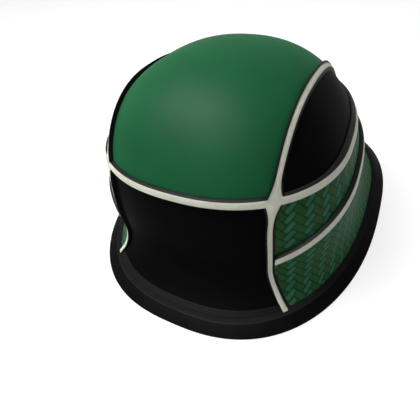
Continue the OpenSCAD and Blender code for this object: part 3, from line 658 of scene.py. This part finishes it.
railHalf = trim["railFace"] / 2
dress(makeBand("band_upper", lambda t: railZ(t) + railHalf + seam, lambda t: belowBelt, 22),
      bandCanvas, "helmet", "band_weave", "upper_band")
dress(makeBand("band_lower", lambda t: footZ, lambda t: railZ(t) - railHalf - seam, 34),
      bandCanvas, "helmet", "band_weave", "lower_band")
print("panels and bands done")

# Strips
carrierFace = trim["out"] - trim["inlay"]
crossing = 1.2  # how far a crown or post inlay runs into the belt's


def barSection(half, back, face, crown=0.0):
    # section of a strip as (across, out) points, its face slightly crowned
    return [(-half, back), (half, back), (half, face - crown), (half * 0.55, face - crown * 0.25),
            (0, face), (-half * 0.55, face - crown * 0.25), (-half, face - crown)]


def asCarrier(piece, *nodes):
    return dress(piece, trimPlastic, "helmet", "trim_black", *nodes)


def asInlay(piece, *nodes):
    return dress(piece, inlayVinyl, "helmet", "inlay_cream", *nodes)


def makeBar(name, along, at, section, edge, closed=False):
    return loft(name, along, len(section), lambda u, k: at(u, *section[k]), closed, edge)


def onBelt(u, rise, d):
    return around(360 * u, beltZ + rise, d)


asCarrier(makeBar("carrier_belt", 240, onBelt, barSection(halfBelt, panelIn, carrierFace), 0.35,
                  True), "belt_trim")
beltFace = barSection(halfBelt - trim["inlayIn"], carrierFace + 0.1, trim["out"], 0.12)
asInlay(makeBar("inlay_belt", 240, onBelt, beltFace, 0.28, True), "belt_inlay")


def carrierSection(lip):
    # a strip's carrier as (share of its half width, millimetres further out, height): its inner
    # side stands up as a lip beside the inlay
    return [(-1, 0, panelIn), (1, 0, panelIn), (1, 0, carrierFace), (-1, lip, carrierFace),
            (-1, lip, "lip"), (-1, 0, "lip")]


def inlaySection(lip):
    # the inlay fills the carrier from behind its lip, its face slightly crowned
    inner, outer = lip + 0.05, -trim["inlayIn"]
    base, face = carrierFace + 0.1, trim["out"] + 0.02
    return [(-1, inner, base), (1, outer, base), (1, outer, face - 0.12),
            (0.55, outer, face - 0.03), (0, 0, face), (-0.55, inner, face - 0.03),
            (-1, inner, face - 0.12)]


def cornerAt(corner, z, fade):
    share, more, out = corner
    if out == "lip":
        out = mix(carrierFace, trim["out"] + trim["lipRise"], fade)
    return share * stripSide(z) + more, out


def makeCrownStrip(name, side, section, edge, reach=0.0):
    low = aboveBelt - reach

    def place(u, k):
        s = courseShare(u)
        z = mix(low, ridge(trim["across"], 0), sinOf(s))
        across, out = cornerAt(section[k], z, 1)
        x, y, z = over(trim["across"] + across, s, low, out)
        return (side * x, y, z)
    return loft(name, 150, len(section), place, edge=edge)


def makePostStrip(name, side, section, edge, reach=0.0):
    def place(u, k):
        z = mix(footZ, belowBelt + reach, u)
        fade = ease((z - trim["lipFoot"]) / trim["lipFoot"])  # the lip sinks toward the rim
        across, out = cornerAt(section[k], z, mix(0.15, 1, fade))
        x, y, z = beside(postX(z) + across, z, out, 1)
        return (side * x, y, z)
    return loft(name, 90, len(section), place, edge=edge)


for side, word in sides:
    for kind, make, lip, edge in (("crown_", makeCrownStrip, trim["lipCrown"], 0.3),
                                  ("post_", makePostStrip, trim["lipPost"], 0.25)):
        asCarrier(make("carrier_" + kind + word, side, carrierSection(lip), edge),
                  kind + "trim_" + word)
        asInlay(make("inlay_" + kind + word, side, inlaySection(lip), 0.28, crossing),
                kind + "inlay_" + word)


def onRail(u, rise, d):
    return onBand(u, railZ(u) + rise, d)


railBase = trim["railOut"] - trim["inlay"]
asCarrier(makeBar("carrier_rail", 220, onRail, barSection(railHalf, panelIn, railBase), 0.35),
          "rail_trim")
railFace = barSection(railHalf - trim["inlayIn"], railBase + 0.1, trim["railOut"], 0.1)
asInlay(makeBar("inlay_rail", 220, onRail, railFace, 0.25), "rail_inlay")


def makeLedge(name, along, point, out, high):
    # sloping ledge over a strip; point(u, lift, d) lies on the helmet above the strip's middle
    bulge = 0.25
    section = [(0, 0.5), (0, out - 0.1), (0.35, out - 0.1 + bulge * 0.4),
               (0.7, mix(out, 0.8, 0.7) + bulge), (1, 0.8), (1, 0.5)]

    def place(u, k):
        share, d = section[k]
        return point(u, high(u) * share, d)
    return asCarrier(loft(name, along, len(section), place, edge=0.2))


ledgeIn = 0.3  # how far a ledge starts below the strip's upper edge


def beltLedge(word, a0, a1):
    def rise(u):
        a = mix(a0, a1, u)
        a = abs(a - 360 if a > 180 else a)
        return trim["beltLedge"] * mix(trim["ledgeShare"], 1, ease((a - 60) / 35)) + ledgeIn
    makeLedge("ledge_belt_" + word, 60,
              lambda u, lift, d: around(mix(a0, a1, u), beltZ + halfBelt - ledgeIn + lift, d),
              trim["out"] - 0.1, rise)


clear = stripSide(aboveBelt) + 1
inner, outer = (angleAt(trim["across"] + gap, beltZ, 0) for gap in (-clear, clear))
beltLedge("front", -inner, inner)
beltLedge("left", outer, 180 - outer)
beltLedge("rear", 180 - inner, 180 + inner)
beltLedge("right", 180 + outer, 360 - outer)
makeLedge("ledge_rail", 220, lambda u, lift, d: onBand(u, railZ(u) + railHalf - ledgeIn + lift, d),
          trim["railOut"] - 0.1, lambda u: trim["railLedge"] + ledgeIn)
print("strips and ledges done")

# Liner
dress(makeBowl("liner_bowl", layers["linerLow"], linerOut, linerIn, 3.0), beadFoam,
      "helmet", "foam", "foam_liner")

# Chin strap: its own frame has the pivot at the origin and the chin toward -y
strap = {"width": 18, "thickness": 1.6, "drop": 104, "pivotZ": 32, "pivotY": -8, "stow": 10.5,
         "anchorTop": 38.5, "anchorWidth": 22, "anchor": 6, "loop": 2, "barTop": -22,
         "barTurn": 1.85, "bend": -24, "endLeft": 29.5, "endRight": 15.1, "straight": 12,
         "foldEnd": -47, "plyEnd": -33, "plyRun": 7.5, "ply": 1.68, "boxTop": -34.5,
         "boxEnd": -45.0, "boxHalf": 6.4}
stitch = {"length": 2.1, "width": 0.5, "pitch": 2.7}
turnStep = 0.9  # degrees


def fromStrap(x, y, z):
    s, c = sinOf(strap["stow"]), cosOf(strap["stow"])
    return (x, strap["pivotY"] + y * c - z * s, strap["pivotZ"] + y * s + z * c)


def wallX(z):  # half width inside the shell at the bracket's rear end
    half, front, rear, centre, n = plan(z, shellIn)
    v = strap["pivotY"] + strap["anchorWidth"] / 2 - centre
    return half * (1 - (abs(v) / (front if v < 0 else rear)) ** n) ** (1 / n) - trim["seat"] - 0.1


loopX = wallX(strap["anchorTop"]) - strap["anchor"] - 0.5 - strap["loop"]
webX = loopX - strap["thickness"] / 2 - 0.05


def mainPoint(a, xEnd):  # middle of the webbing at a turn of a degrees toward the chin
    start = xEnd + strap["straight"]
    reach, drop = webX - xEnd - strap["straight"], strap["drop"] + strap["bend"]
    s, c = sinOf(a), cosOf(a)
    return (Vector((start + reach * c, strap["bend"] - drop * s)),
            Vector((-reach * s, -drop * c)).normalized())


def webCourse(xEnd):
    # from the sewn end outside the loop, over the loop's bar and down the head side to the chin
    fold, a = [], 0.0
    point, run = mainPoint(a, xEnd)
    while point.y > strap["foldEnd"]:
        lift = mix(strap["ply"], strap["loop"] + strap["thickness"] + 0.1,
                   ease((point.y - strap["plyEnd"]) / strap["plyRun"]))
        fold.append(point + Vector((-run.y, run.x)) * lift)
        a += turnStep
        point, run = mainPoint(a, xEnd)
    course = fold[::-1]
    bar = Vector((loopX + 1, strap["barTop"]))
    course += [bar + Vector((cosOf(t), sinOf(t))) * strap["barTurn"] for t in range(0, 195, 15)]
    course += [mainPoint(turnStep * i, xEnd)[0] for i in range(101)]
    course += [Vector((xEnd + strap["straight"] - 1.2 * i, -strap["drop"])) for i in range(1, 11)]
    return course


def makeWebStrap(name, side, xEnd):
    half, thick = strap["width"] / 2, strap["thickness"] / 2
    face = [(-half + 0.6, thick), (-4.2, thick - 0.08), (0, thick - 0.1), (4.2, thick - 0.08),
            (half - 0.6, thick), (half - 0.1, 0.42)]
    section = face + [(-a, -b) for a, b in face]
    course = webCourse(xEnd)
    count = len(course) - 1

    def place(u, k):
        i = round(u * count)
        run = (course[min(i + 1, count)] - course[max(i - 1, 0)]).normalized()
        across, out = section[k]
        x, y, z = fromStrap(course[i].x - run.y * out, course[i].y + run.x * out, across)
        return (side * x, y, z)
    return smooth(loft(name, count, len(section), place, edge=0), 60)


def scatter(name, places):
    # a stitch modelled once along z, copied to points (place, direction) and joined
    seed = added(bpy.ops.mesh.primitive_uv_sphere_add, "stitch", segments=6, ring_count=4,
                 radius=1)
    size = [stitch[key] / 2 for key in ("width", "width", "length")]
    for vertex in seed.data.vertices:
        vertex.co = Vector([a * b for a, b in zip(vertex.co, size)]) * mm
    deselectAll()
    for point, run in places:
        copy = seed.copy()
        copy.data = seed.data.copy()
        turn = run.to_track_quat("Z", "Y").to_matrix().to_4x4()
        copy.data.transform(Matrix.Translation(point) @ turn)
        bpy.context.scene.collection.objects.link(copy)
        copy.select_set(True)
        bpy.context.view_layer.objects.active = copy
    bpy.data.objects.remove(seed)
    bpy.ops.object.join()
    piece = bpy.context.active_object
    piece.name = piece.data.name = name
    return smooth(piece, 70)


def sewnBox(name, side, xEnd):
    # a crossed box of stitches through both plies, seen on either face
    top, low, half = strap["boxTop"], strap["boxEnd"], strap["boxHalf"]
    corners = ((top, -half), (top, half), (low, half), (low, -half))
    lines = [(corners[k], corners[(k + 1) % 4]) for k in range(4)]
    lines += [(corners[0], corners[2]), (corners[1], corners[3])]

    def spot(y, z, out):
        turn = math.degrees(math.asin((strap["bend"] - y) / (strap["drop"] + strap["bend"])))
        point, run = mainPoint(turn, xEnd)
        x, y, z = fromStrap(point.x - run.y * out, point.y + run.x * out, z)
        return Vector((side * x, y, z)) * mm
    places = []
    for out in (-strap["thickness"] / 2, strap["ply"] + strap["thickness"] / 2):
        for (y0, z0), (y1, z1) in lines:
            count = round(math.hypot(y1 - y0, z1 - z0) / stitch["pitch"])
            for i in range(count):
                before, here, after = (spot(mix(y0, y1, (i + k) / count),
                                            mix(z0, z1, (i + k) / count), out)
                                       for k in (0.4, 0.5, 0.6))
                places.append((here, after - before))
    return scatter(name, places)


dress(makeWebStrap("strap_left", 1, strap["endLeft"]), webbingCloth, "strap", "webbing",
      "strap_left")
for side, word in sides:
    dress(sewnBox("strap_stitches_" + word, side, strap["end" + word.title()]), thread, "strap",
          "webbing")
rightWeb = makeWebStrap("strap_right", -1, strap["endRight"])
rightWeb.data.materials.clear()
rightWeb.data.materials.append(webbingCloth)
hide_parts("strap_right")
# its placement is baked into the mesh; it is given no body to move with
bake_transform(rightWeb)
print("chin strap done")

# Cushions: foam in knitted cloth with sewn channels, a bound edge and a row of stitches
cushion = {"edge": 2.2, "core": 4.9, "roll": 7.5, "voxel": 1.2, "cap": 1.3, "pressure": 4.0,
           "channel": 1.7, "channelWidth": 1.0, "binding": 0.95, "hem": 2.6, "hemDepth": 0.35,
           "hemWidth": 0.8, "backing": 0.35, "frames": 20}


def inset(a, b, pad):  # distance in from the pad's rounded outline
    qa, qb = abs(a) - pad["half"] + pad["corner"], abs(b) - pad["rise"] + pad["corner"]
    return pad["corner"] - math.hypot(max(qa, 0), max(qb, 0)) - min(max(qa, qb), 0)


def halfRise(a, pad):
    past = max(0.0, abs(a) - pad["half"] + pad["corner"])
    return pad["rise"] - pad["corner"] + math.sqrt(max(0.0, pad["corner"] ** 2 - past ** 2))


def outwardAt(pad, a, b):  # unit direction from the wearer toward what carries the pad
    return (Vector(pad["spot"](a, b, 0)) - Vector(pad["spot"](a, b, 2))).normalized()


def makeCushion(name, pad):
    flat = []

    def place(u, v):
        t = 2 * u - 1
        a = pad["half"] * (1.4 * t - 0.4 * t ** 3)
        b = halfRise(a, pad) * (2 * v - 1)
        flat.append((a, b))
        return pad["spot"](a, b, 0.2)
    piece = startGrid(name, round(pad["half"] * 0.7), round(pad["rise"] * 0.8), place)
    shape(piece, "SOLIDIFY", thickness=2 * mm, offset=1)
    for vertex, (a, b) in zip(piece.data.vertices[len(flat):], flat):
        lean = 1 - clamp01(inset(a, b, pad) / cushion["roll"])
        w = mix(cushion["edge"], cushion["core"], math.sqrt(1 - lean * lean))
        vertex.co = Vector(pad["spot"](a, b, w)) * mm
    shape(piece, "REMESH", mode="VOXEL", voxel_size=cushion["voxel"] * mm)
    away = [outwardAt(pad, *pad["where"](vertex.co / mm)) for vertex in piece.data.vertices]
    inflate(piece, away)
    shape(piece, "SMOOTH", factor=0.5, iterations=4)
    shape(piece, "SUBSURF", levels=1, render_levels=1)
    sewChannels(piece, pad)
    piece.name = piece.data.name = name
    return smooth(piece, 180)


def inflate(piece, away):
    # the cloth swells under pressure while its backing is held, each point within the cap
    rest = [vertex.co.copy() for vertex in piece.data.vertices]
    held = piece.vertex_groups.new(name="backing")
    held.add([vertex.index for vertex in piece.data.vertices
              if vertex.normal.dot(away[vertex.index]) > cushion["backing"]], 1.0, "REPLACE")
    pick(piece)
    cloth = piece.modifiers.new("Cloth", "CLOTH")
    settings = cloth.settings
    settings.quality, settings.mass = 5, 0.2
    settings.use_pressure, settings.uniform_pressure_force = True, cushion["pressure"]
    settings.vertex_group_mass = "backing"
    settings.effector_weights.gravity = 0
    cloth.point_cache.frame_start, cloth.point_cache.frame_end = 1, cushion["frames"]
    for step in range(1, cushion["frames"] + 1):
        bpy.context.scene.frame_set(step)
    bpy.ops.object.modifier_apply(modifier=cloth.name)
    bpy.context.scene.frame_set(1)
    cap = cushion["cap"] * mm
    for vertex, start, out in zip(piece.data.vertices, rest, away):
        move = vertex.co - start
        move -= out * max(0.0, move.dot(out) - 0.1 * mm)
        vertex.co = start + move * min(1.0, cap / max(move.length, 1e-9))
    piece.vertex_groups.clear()


def sewChannels(piece, pad):
    moves = []
    for vertex in piece.data.vertices:
        a, b = pad["where"](vertex.co / mm)
        out = outwardAt(pad, a, b)
        near = sum(math.exp(-((a - c) / cushion["channelWidth"]) ** 2) for c in pad["channels"])
        hem = math.exp(-((inset(a, b, pad) - cushion["hem"]) / cushion["hemWidth"]) ** 2)
        depth = cushion["channel"] * (near * ease(inset(a, b, pad) / 4) + cushion["hemDepth"] * hem)
        moves.append(out * depth * clamp01(-1.6 * vertex.normal.dot(out)) * mm)
    for vertex, move in zip(piece.data.vertices, moves):
        vertex.co += move


def outlineOf(pad, inward=0.0):
    # points of the rounded outline with their outward directions, anticlockwise
    r = pad["corner"] - inward
    long, tall = pad["half"] - pad["corner"], pad["rise"] - pad["corner"]
    middles = ((long, tall), (-long, tall), (-long, -tall), (long, -tall))
    points = []
    for k in range(4):
        (a0, b0), (a1, b1) = middles[k], middles[(k + 1) % 4]
        turns = [math.radians(90 * k + 11.25 * i) for i in range(9)]
        steps = max(1, round(math.hypot(a1 - a0, b1 - b0) / 3))
        spots = [(a0, b0, t) for t in turns]
        spots += [(mix(a0, a1, i / steps), mix(b0, b1, i / steps), turns[-1])
                  for i in range(1, steps)]
        points += [(a + r * math.cos(t), b + r * math.sin(t), math.cos(t), math.sin(t))
                   for a, b, t in spots]
    return [q for k, q in enumerate(points) if math.dist(q[:2], points[k - 1][:2]) > 0.1]


def makeBinding(name, pad):
    points, r = outlineOf(pad), cushion["binding"]
    count = len(points)

    def place(u, k):
        a, b, na, nb = points[round(u * count) % count]
        out, w = 0.75 * r * cosOf(45 * k), 0.15 + r * 1.15 + r * 1.15 * sinOf(45 * k)
        return pad["spot"](a + na * out, b + nb * out, w)
    return smooth(loft(name, count, 8, place, closed=True, edge=0), 70)


def sewnRows(name, piece, pad):
    # rows of stitches down each channel and round the hem, laid on the finished cloth
    rows = []
    for c in pad["channels"]:
        reach = pad["rise"] - 3.5
        count = round(2 * reach / stitch["pitch"])
        rows.append([(c, mix(-reach, reach, i / count)) for i in range(count + 1)])
    hem = [point[:2] for point in outlineOf(pad, cushion["hem"])]
    spaced, left = [hem[0]], 0.0
    for (a0, b0), (a1, b1) in zip(hem, hem[1:] + hem[:1]):
        length = math.hypot(a1 - a0, b1 - b0)
        while left + stitch["pitch"] <= length:
            left += stitch["pitch"]
            spaced.append((mix(a0, a1, left / length), mix(b0, b1, left / length)))
        left -= length
    rows.append(spaced)
    places = []
    for row in rows:
        found = []
        for a, b in row:
            out = outwardAt(pad, a, b)
            hit, point = piece.ray_cast(Vector(pad["spot"](a, b, 12)) * mm, out)[:2]
            if hit:
                found.append(point - out * 0.08 * mm)
        for here, then in zip(found, found[1:]):
            if (then - here).length < 1.6 * stitch["pitch"] * mm:
                places.append(((here + then) / 2, then - here))
    return scatter(name, places)


def angleOf(x, y, z, d):
    half, front, rear, centre, n = plan(z, d)
    return math.degrees(math.atan2(keepSign(x / half, n / 2),
                                   keepSign((centre - y) / (front if y < centre else rear), n / 2)))


def linerPad(middle, sweep, low, high, channels):
    # a pad on the liner's inner face, from one angle to another and between two heights
    reach, level = (high - low) / 2, (high + low) / 2
    line = [Vector(around(middle + sweep * (i / 20 - 1), level, padOut)) for i in range(41)]
    half = sum((line[i + 1] - line[i]).length for i in range(40)) / 2
    rise = (Vector(around(middle, high, padOut)) - Vector(around(middle, low, padOut))).length / 2

    def spot(a, b, w):
        return around(middle + a / half * sweep, level + b / rise * reach, padOut - w)

    def where(co):
        turn = (angleOf(co.x, co.y, co.z, padOut) - middle + 180) % 360 - 180
        return (turn / sweep * half, (co.z - level) / reach * rise)
    return {"half": half, "rise": rise, "corner": 8.0, "spot": spot, "where": where,
            "channels": [half * c for c in channels], "body": "helmet"}


def crownPad(share=0.42):
    radius = share * (dome["width"] / 2 + padOut)
    p = dome["fullness"]

    def spot(a, b, w):
        s, d = math.hypot(a, b) / radius, padOut - w
        top = dome["base"] + (dome["height"] + d - dome["base"]) * (1 - (share * s) ** p) ** (1 / p)
        return around(math.degrees(math.atan2(a, b)), top, d)

    def where(co):
        centre, n = plan(co.z, padOut)[3:]
        reach = (dome["front"] if co.y < centre else dome["rear"]) + padOut
        x, y = co.x / radius, (centre - co.y) / (share * reach)
        s = (abs(x) ** n + abs(y) ** n) ** (1 / n)
        turn = math.atan2(keepSign(x, n / 2), keepSign(y, n / 2))
        return (radius * s * math.sin(turn), radius * s * math.cos(turn))
    return {"half": radius, "rise": radius, "corner": radius, "spot": spot, "where": where,
            "channels": [-radius / 3, radius / 3], "body": "helmet"}


def chinPad():
    middle, half = 6.7, 27.3
    s, c = sinOf(strap["stow"]), cosOf(strap["stow"])

    def where(co):
        y, z = co.y - strap["pivotY"], co.z - strap["pivotZ"]
        return (co.x - middle, z * c - y * s)
    return {"half": half, "rise": 11.0, "corner": 6.0, "where": where, "body": "strap",
            "spot": lambda a, b, w: fromStrap(middle + a, 4.3 - strap["drop"] + w, b),
            "channels": [-half / 3, half / 3]}


fitBand = {"height": 22, "gap": 2.8, "cover": 3, "racks": 4, "yoke": 3, "clear": 0.9}


def napePad():
    # in front of the fit band, whose layers stand between the liner and the pad
    back = around(180, layers["linerLow"], linerIn)[1]
    for layer in ("gap", "cover", "racks", "yoke", "clear"):
        back -= fitBand[layer]
    level = fitBand["height"]
    return {"half": 27.0, "rise": 11.3, "corner": 6.0, "body": "helmet",
            "spot": lambda a, b, w: (a, back - w, level + b),
            "where": lambda co: (co.x, co.z - level), "channels": [0.0]}


pads = {"brow_pad": linerPad(0, 42, 42, 66, (-0.5, 0, 0.5)),
        "rear_pad": linerPad(180, 30, 42, 64, (-0.5, 0, 0.5)),
        "temple_pad_left": linerPad(96, 26, 42, 66, (0,)),
        "temple_pad_right": linerPad(-96, 26, 42, 66, (0,)),
        "crown_pad": crownPad(), "chin_pad": chinPad(), "nape_pad": napePad()}
for node, pad in pads.items():
    piece = makeCushion("cushion_" + node, pad)
    dress(piece, padCloth, pad["body"], "pad_cloth", node)
    dress(makeBinding("binding_" + node, pad), bindingTape, pad["body"], "pad_cloth")
    dress(sewnRows("stitches_" + node, piece, pad), thread, pad["body"], "pad_cloth")
    print("cushion done:", node)

# Fittings from the CAD solids
refine("buckle_socket", 0.5, bucklePlastic, "strap", "buckle_black")
refine("buckle_tongue", 0.25, bucklePlastic, "tongue", "buckle_black")
refine("release_lever", 0.35, leverPlastic, "lever", "lever_red")
refine("lever_pin", 0.2, steel, "strap", "steel")
refine("fit_yoke", 0.4, bracketPlastic, "helmet", "bracket_black")
refine("fit_cover", 0.4, bracketPlastic, "helmet", "bracket_black")
refine("fit_screws", 0.12, steel, "helmet", "steel", "fit_screw_bodies")
refine("fit_dial", 0.35, dialPlastic, "dial", "dial_grey", "fit_dial_knob")
refine("fit_rack_left", 0.15, rackPlastic, "rack_left", "rack_nylon")
refine("fit_rack_right", 0.15, rackPlastic, "rack_right", "rack_nylon")
refine("anchor_left", 0.6, bracketPlastic, "helmet", "bracket_black")
refine("anchor_right", 0.6, bracketPlastic, "helmet", "bracket_black")
refine("anchor_rivets", 0.3, steel, "helmet", "steel", "anchor_rivet_heads")
refine("strap_loop_left", 0.3, steel, "strap", "steel", "strap_loop_left_plate")
refine("strap_loop_right", 0.3, steel, "strap", "steel", "strap_loop_right_plate")
print("fittings done")

# Scene
camera = {"place": (0.1002, -0.2616, 0.2371), "turn": 26.3, "pitch": 33.3, "tip": 11.3,
          "focal": 330, "picture": 420, "sensor": 36}


def placeCamera():
    lens = added(bpy.ops.object.camera_add, "photo_camera", location=camera["place"])
    s, c = sinOf(camera["turn"]), cosOf(camera["turn"])
    down, level = sinOf(camera["pitch"]), cosOf(camera["pitch"])
    tip = Matrix.Rotation(-math.radians(camera["tip"]), 3, "X")
    right = tip @ Vector((c, s, 0))
    ahead = tip @ Vector((-s * level, c * level, -down))
    up = right.cross(ahead)
    turn = Matrix((right, up, -ahead)).transposed()
    lens.matrix_world = Matrix.Translation(camera["place"]) @ turn.to_4x4()
    lens.data.sensor_width = camera["sensor"]
    lens.data.sensor_fit = "HORIZONTAL"
    lens.data.lens = camera["sensor"] * camera["focal"] / camera["picture"]
    lens.data.clip_start = 0.01
    bpy.context.scene.camera = lens


def addLamp(name, place, aim, size, power):
    lamp = added(bpy.ops.object.light_add, name, type="AREA", location=place)
    lamp.data.size = size
    lamp.data.energy = power
    lamp.rotation_euler = (Vector(aim) - Vector(place)).to_track_quat("-Z", "Y").to_euler()
    return lamp


def whiteSeen(plain, white, output):
    # the backdrop stays white to the eye and in reflections, whatever the lamps do
    path = addNode("LightPath")
    seen = path.outputs["Is Camera Ray"]
    for ray in ("Is Glossy Ray", "Is Transmission Ray"):
        seen = calc("MAXIMUM", seen, path.outputs[ray])
    link(addNode("MixShader", {0: seen, 1: plain, 2: white}),
         paint["tree"].nodes[output].inputs["Surface"])


def makeFloor():
    floor = added(bpy.ops.mesh.primitive_plane_add, "studio_floor", size=8,
                  location=(0, 0, -0.0002))
    bpy.ops.object.transform_apply(location=True, rotation=True, scale=True)
    floor.data.materials.append(startMaterial("floor_paper_white", roughness=0.9, specular=0.0))
    toned("#b0b0b0", "#b6b6b6", 300)
    glow = addNode("Emission", {"Color": (1, 1, 1, 1), "Strength": 0.74})
    both = addNode("AddShader", {0: paint["shader"], 1: glow})
    whiteSeen(paint["shader"], both, "Material Output")


def makeWorld():
    world = bpy.data.worlds.new("studio")
    bpy.context.scene.world = world
    world.use_nodes = True
    paint["tree"] = world.node_tree
    back = world.node_tree.nodes["Background"]
    back.inputs["Color"].default_value = (1, 1, 1, 1)
    back.inputs["Strength"].default_value = 0.27
    whiteSeen(back, addNode("Background", {"Color": (1, 1, 1, 1), "Strength": 1.0}), "World Output")


placeCamera()
makeFloor()
makeWorld()
addLamp("key_softbox", (-0.6, -0.33, 1.15), (0, -0.02, 0.08), 0.6, 13.8)
addLamp("fill_softbox", (0.2, -1.1, 0.6), (0, 0, 0.08), 0.9, 1.6)
# a panel seen only as a soft gloss on the crown
gloss = addLamp("gloss_softbox", (-0.23, -0.52, 1.15), (0, -0.02, 0.08), 0.75, 140)
gloss.visible_diffuse = False
bpy.context.scene.view_settings.view_transform = "Standard"
print("scene ready")
